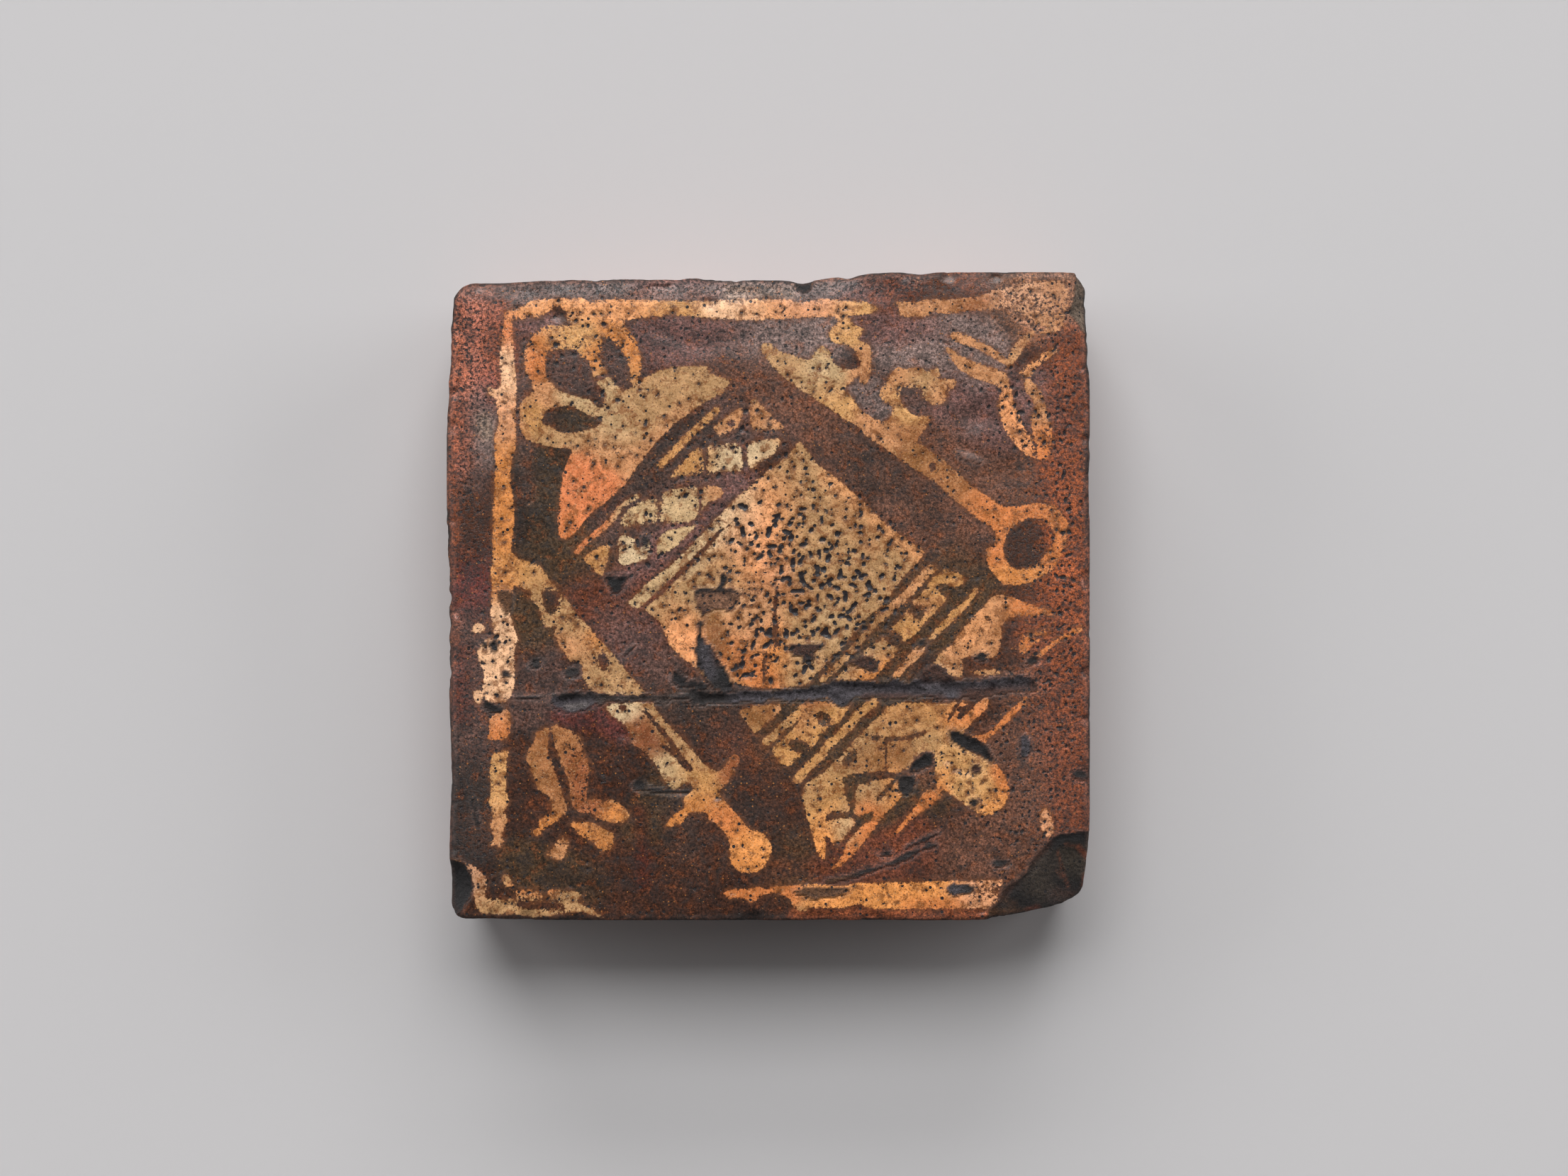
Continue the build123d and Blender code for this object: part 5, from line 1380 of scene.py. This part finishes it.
# %% Pits
pit_edge = add("ShaderNodeMath", [grain_wobble, 0.5, maps["pits"]], operation="MULTIPLY_ADD")
large_pits = add("ShaderNodeMapRange", [pit_edge, -0.04, 0.08], **SMOOTH)
cells = add("ShaderNodeTexVoronoi", {"Vector": mm, "Scale": 0.85, "Randomness": 1.0}).node
random_red = add("ShaderNodeSeparateColor", [cells.outputs["Color"]])
pinhole_radius = add("ShaderNodeMapRange", [random_red, 0.4, 1.0, -0.08, 0.32])
within_pinhole = add("ShaderNodeMath", [pinhole_radius, cells.outputs["Distance"]], operation="SUBTRACT")
pinholes = add("ShaderNodeMapRange", [within_pinhole, 0.0, 0.05], **SMOOTH)
all_pits = add("ShaderNodeMath", [large_pits, pinholes], operation="MAXIMUM")
print("pits' mask:", all_pits.node.name)

# %% [markdown]
# On the underpainted slip come iron stains, and a brown halo round each pit where iron spread from it, most
# in the crowded places. Then follow dark and pale specks, and a brown rim where the slip thins out.

# %% Colour of the slip
IRON_STAIN = colour("#8a5228")
PIT_HALO = colour("#633818")
DARK_SPECK = colour("#3d2416")
PALE_SPECK = colour("#f0d2a6")
SLIP_RIM = colour("#7d421e")
patch_light = add("ShaderNodeMapRange", [patch, *NOISE_RANGE, 0.8, 1.3])
slip_colour = add("ShaderNodeVectorMath", [slip_paint, patch_light], operation="SCALE")
stained = add("ShaderNodeMapRange", [stain, 0.5, 0.6, 0.0, 0.75], **SMOOTH)
near_pit = add("ShaderNodeMapRange", [maps["pits"], -0.8, 0.0], **SMOOTH)
iron_spread = add("ShaderNodeMapRange", [stain, 0.42, 0.57, 0.1, 0.85], **SMOOTH)
halo = add("ShaderNodeMath", [near_pit, iron_spread], operation="MULTIPLY")
for amount, over in ((stained, IRON_STAIN), (halo, PIT_HALO)):
    slip_colour = add("ShaderNodeMix", [amount, slip_colour, over], data_type="RGBA")
grain_light = add("ShaderNodeMapRange", [grain, *NOISE_RANGE, 0.88, 1.12])
slip_colour = add("ShaderNodeVectorMath", [slip_colour, grain_light], operation="SCALE")
dark_specks = add("ShaderNodeMapRange", [specks, 0.58, 0.66, 0.0, 0.75], **SMOOTH)
pale_specks = add("ShaderNodeMapRange", [specks, 0.42, 0.34, 0.0, 0.25], **SMOOTH)
thin_edge = add("ShaderNodeMapRange", [slip_edge, 0.3, 0.0, 0.0, 0.4], **SMOOTH)
for amount, over in ((dark_specks, DARK_SPECK), (pale_specks, PALE_SPECK), (thin_edge, SLIP_RIM)):
    slip_colour = add("ShaderNodeMix", [amount, slip_colour, over], data_type="RGBA")
print("material:", len(tree.nodes), "nodes so far")

# %% [markdown]
# The clay varies more: clouds, black and rusty patches, strong grain, a smear of slip along each edge,
# ochre grit of up to 0.2 mm in radius, and black crumbs where its surface has gone to grains.

# %% Broad colour of the clay
BLACK_PATCH = colour("#1f1613")
RUSTY_PATCH = colour("#8a4c2c")
SLIP_SMEAR = colour("#71452a")
cloud_light = add("ShaderNodeMapRange", [cloud, *NOISE_RANGE, 0.75, 1.3])
clay_colour = add("ShaderNodeVectorMath", [clay_paint, cloud_light], operation="SCALE")
black_patches = add("ShaderNodeMapRange", [patch, 0.5, 0.62, 0.0, 0.55], **SMOOTH)
rusty_patches = add("ShaderNodeMapRange", [patch, 0.46, 0.34, 0.0, 0.38], **SMOOTH)
for amount, over in ((black_patches, BLACK_PATCH), (rusty_patches, RUSTY_PATCH)):
    clay_colour = add("ShaderNodeMix", [amount, clay_colour, over], data_type="RGBA")
strong_grain = add("ShaderNodeMapRange", [grain, *NOISE_RANGE, 0.42, 1.62])
strong_specks = add("ShaderNodeMapRange", [specks, 0.36, 0.64, 0.5, 1.55])
for light in (strong_grain, strong_specks):
    clay_colour = add("ShaderNodeVectorMath", [clay_colour, light], operation="SCALE")
near_slip = add("ShaderNodeMapRange", [slip_edge, -1.1, -0.1], **SMOOTH)
smear_spread = add("ShaderNodeMapRange", [stain, 0.42, 0.58, 0.0, 0.6], **SMOOTH)
smear = add("ShaderNodeMath", [near_slip, smear_spread], operation="MULTIPLY")
clay_colour = add("ShaderNodeMix", [smear, clay_colour, SLIP_SMEAR], data_type="RGBA")
print("material:", len(tree.nodes), "nodes so far")

# %% [markdown]
# Grit is worked out as the pinholes are, from cells of 0.7 mm. Crumbs sit in the low places of the grain.

# %% Grit and crumbs in the clay
OCHRE_GRIT = colour("#b8763c")
BLACK_CRUMB = colour("#1d1416")
CRUMB_STRENGTH = 0.85
grit = add("ShaderNodeTexVoronoi", {"Vector": mm, "Scale": 1.5}).node
random_green = add("ShaderNodeSeparateColor", [grit.outputs["Color"]]).node.outputs[1]
grit_radius = add("ShaderNodeMapRange", [random_green, 0.6, 1.0, -0.05, 0.3])
within_grit = add("ShaderNodeMath", [grit_radius, grit.outputs["Distance"]], operation="SUBTRACT")
grit_mask = add("ShaderNodeMapRange", [within_grit, 0.0, 0.1, 0.0, 0.8], **SMOOTH)
clay_colour = add("ShaderNodeMix", [grit_mask, clay_colour, OCHRE_GRIT], data_type="RGBA")
low_grain = add("ShaderNodeMapRange", [grain, 0.47, 0.41], **SMOOTH)
crumbs = add("ShaderNodeMath", [low_grain, maps["granular"]], operation="MULTIPLY")
crumb_mask = add("ShaderNodeMath", [crumbs, CRUMB_STRENGTH], operation="MULTIPLY")
clay_colour = add("ShaderNodeMix", [crumb_mask, clay_colour, BLACK_CRUMB], data_type="RGBA")
print("material:", len(tree.nodes), "nodes so far")

# %% [markdown]
# Slip lies over clay, a fracture over both, and the pits over all. A fracture is dull grainy clay.

# %% All colours together
PIT_FLOOR = colour("#251f21")
fracture = clay_paint
for noise, least, most in ((grain, 0.55, 1.45), (specks, 0.75, 1.3)):
    light = add("ShaderNodeMapRange", [noise, *NOISE_RANGE, least, most])
    fracture = add("ShaderNodeVectorMath", [fracture, light], operation="SCALE")
surface = clay_colour
for amount, over in ((slip_mask, slip_colour), (maps["broken"], fracture), (all_pits, PIT_FLOOR)):
    surface = add("ShaderNodeMix", [amount, surface, over], data_type="RGBA")
print("material:", len(tree.nodes), "nodes so far")

# %% [markdown]
# The sheen is satin where the glaze is whole, and dull where it is gone. The relief is in mm, so the bump's
# distance is 0.001 m. It adds up the waves of the glaze, grain, grit, pits and crumbs, and the roughness of
# a fracture, each times its height.

# %% Sheen and relief
BARE_ROUGHNESS = 0.85
GLAZED_ROUGHNESS = 0.27
LEAD_GLASS_IOR = 1.6
dull = add("ShaderNodeMapRange", [maps["glazed"], 0.0, 1.0, BARE_ROUGHNESS, GLAZED_ROUGHNESS])
patch_sheen = add("ShaderNodeMapRange", [patch, *NOISE_RANGE, -0.06, 0.12])
roughness = add("ShaderNodeMath", [dull, patch_sheen], operation="ADD")
loose_specks = add("ShaderNodeMath", [specks, maps["granular"]], operation="MULTIPLY")
broken_grain = add("ShaderNodeMath", [grain, maps["broken"]], operation="MULTIPLY")
relief = add("ShaderNodeMath", [patch, 0.08], operation="MULTIPLY")
for field, rise in ((grain, 0.05), (specks, 0.015), (loose_specks, 0.05), (all_pits, -0.2), (crumbs, -0.12),
                    (broken_grain, 1.0)):
    relief = add("ShaderNodeMath", [field, rise, relief], operation="MULTIPLY_ADD")
bump = add("ShaderNodeBump", {"Height": relief, "Distance": 0.001, "Strength": 1.0})
finish = {"Base Color": surface, "Roughness": roughness, "Normal": bump, "IOR": LEAD_GLASS_IOR}
shader = add("ShaderNodeBsdfPrincipled", finish)
add("ShaderNodeOutputMaterial", {"Surface": shader})
tile_mesh.materials.append(material)
print("material:", len(tree.nodes), "nodes")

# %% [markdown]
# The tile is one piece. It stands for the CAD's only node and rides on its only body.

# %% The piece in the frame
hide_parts("tile")
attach(tile, "root")
print("piece:", tile.name)

# %% [markdown]
# ## Floor, light and camera
# The tile lies on a sheet of pale grey paper. The sheet is a hair lower than the bed, because two surfaces
# at one height flicker.

# %% Floor
FLOOR_LEVEL = -0.00002
FLOOR_HALF = 3
floor_mesh = bpy.data.meshes.new("floor")
floor_corners = [(x * FLOOR_HALF, y * FLOOR_HALF, FLOOR_LEVEL)
                 for x, y in ((-1, -1), (1, -1), (1, 1), (-1, 1))]
floor_mesh.from_pydata(floor_corners, [], [(0, 1, 2, 3)])
floor = bpy.data.objects.new("floor", floor_mesh)
bpy.context.scene.collection.objects.link(floor)
paper = bpy.data.materials.new("grey_paper")
paper.use_nodes = True
paper_shader = paper.node_tree.nodes["Principled BSDF"]
paper_shader.inputs["Base Color"].default_value = colour("#cccacb")
paper_shader.inputs["Roughness"].default_value = 0.9
paper_shader.inputs["Specular IOR Level"].default_value = 0.2
floor_mesh.materials.append(paper)
print("floor:", 2 * FLOOR_HALF, "m square")

# %% [markdown]
# Two softboxes beyond the tile's top edge, one high and one low, give the soft shadow below it and the
# sheen on its upper part. Weak reflectors at both sides and a dim world fill that shadow.

# %% Lamps
LAMP_DISTANCE = 6.0
WORLD_STRENGTH = 0.11


def lamp(name, turn, elevation, width, height, share):
    """Area light that faces the tile from a direction, in degrees: turn from +Y towards +X, and elevation.
    Its power is share pi^2 distance^2 / sin(elevation), where share is its part of all the light that falls
    on the floor."""
    data = bpy.data.lights.new(name, "AREA")
    data.shape = "RECTANGLE"
    data.size, data.size_y = width, height
    turn, elevation = math.radians(turn), math.radians(elevation)
    data.energy = share * math.pi**2 * LAMP_DISTANCE**2 / math.sin(elevation)
    level = math.cos(elevation)
    place = Vector((math.sin(turn) * level, math.cos(turn) * level, math.sin(elevation)))
    light = bpy.data.objects.new(name, data)
    light.location = place * LAMP_DISTANCE
    light.rotation_euler = (-place).to_track_quat("-Z", "Y").to_euler()
    bpy.context.scene.collection.objects.link(light)


lamp("high_softbox", -4, 52, 5.2, 3.2, 0.52)
lamp("low_softbox", -4, 19, 6.4, 2.4, 0.28)
lamp("left_reflector", -70, 20, 3.6, 2.4, 0.09)
lamp("right_reflector", 68, 20, 3.6, 2.4, 0.10)
world = bpy.data.worlds.new("studio")
world.use_nodes = True
world.node_tree.nodes["Background"].inputs["Color"].default_value = (1, 1, 1, 1)
world.node_tree.nodes["Background"].inputs["Strength"].default_value = WORLD_STRENGTH
bpy.context.scene.world = world
print("lamps:", len(bpy.data.lights))

# %% [markdown]
# The camera hangs straight above the tile, with a long lens. Its height follows from the width of floor
# that the photograph shows at the level of the tile's face, and its place centres the tile as the
# photograph does.

# %% Camera
LENS = 100.0
SENSOR = 36.0
VIEW_WIDTH = 0.3183
VIEW_MIDDLE = (0.00317, 0.00165)
camera_data = bpy.data.cameras.new("camera")
camera_data.lens = LENS
camera_data.sensor_width = SENSOR
camera = bpy.data.objects.new("camera", camera_data)
camera.location = (*VIEW_MIDDLE, THICKNESS / 1000 + VIEW_WIDTH * LENS / SENSOR)
bpy.context.scene.collection.objects.link(camera)
bpy.context.scene.camera = camera
bpy.context.scene.view_settings.view_transform = "Standard"
print("camera: at", [round(value, 4) for value in camera.location], "m")
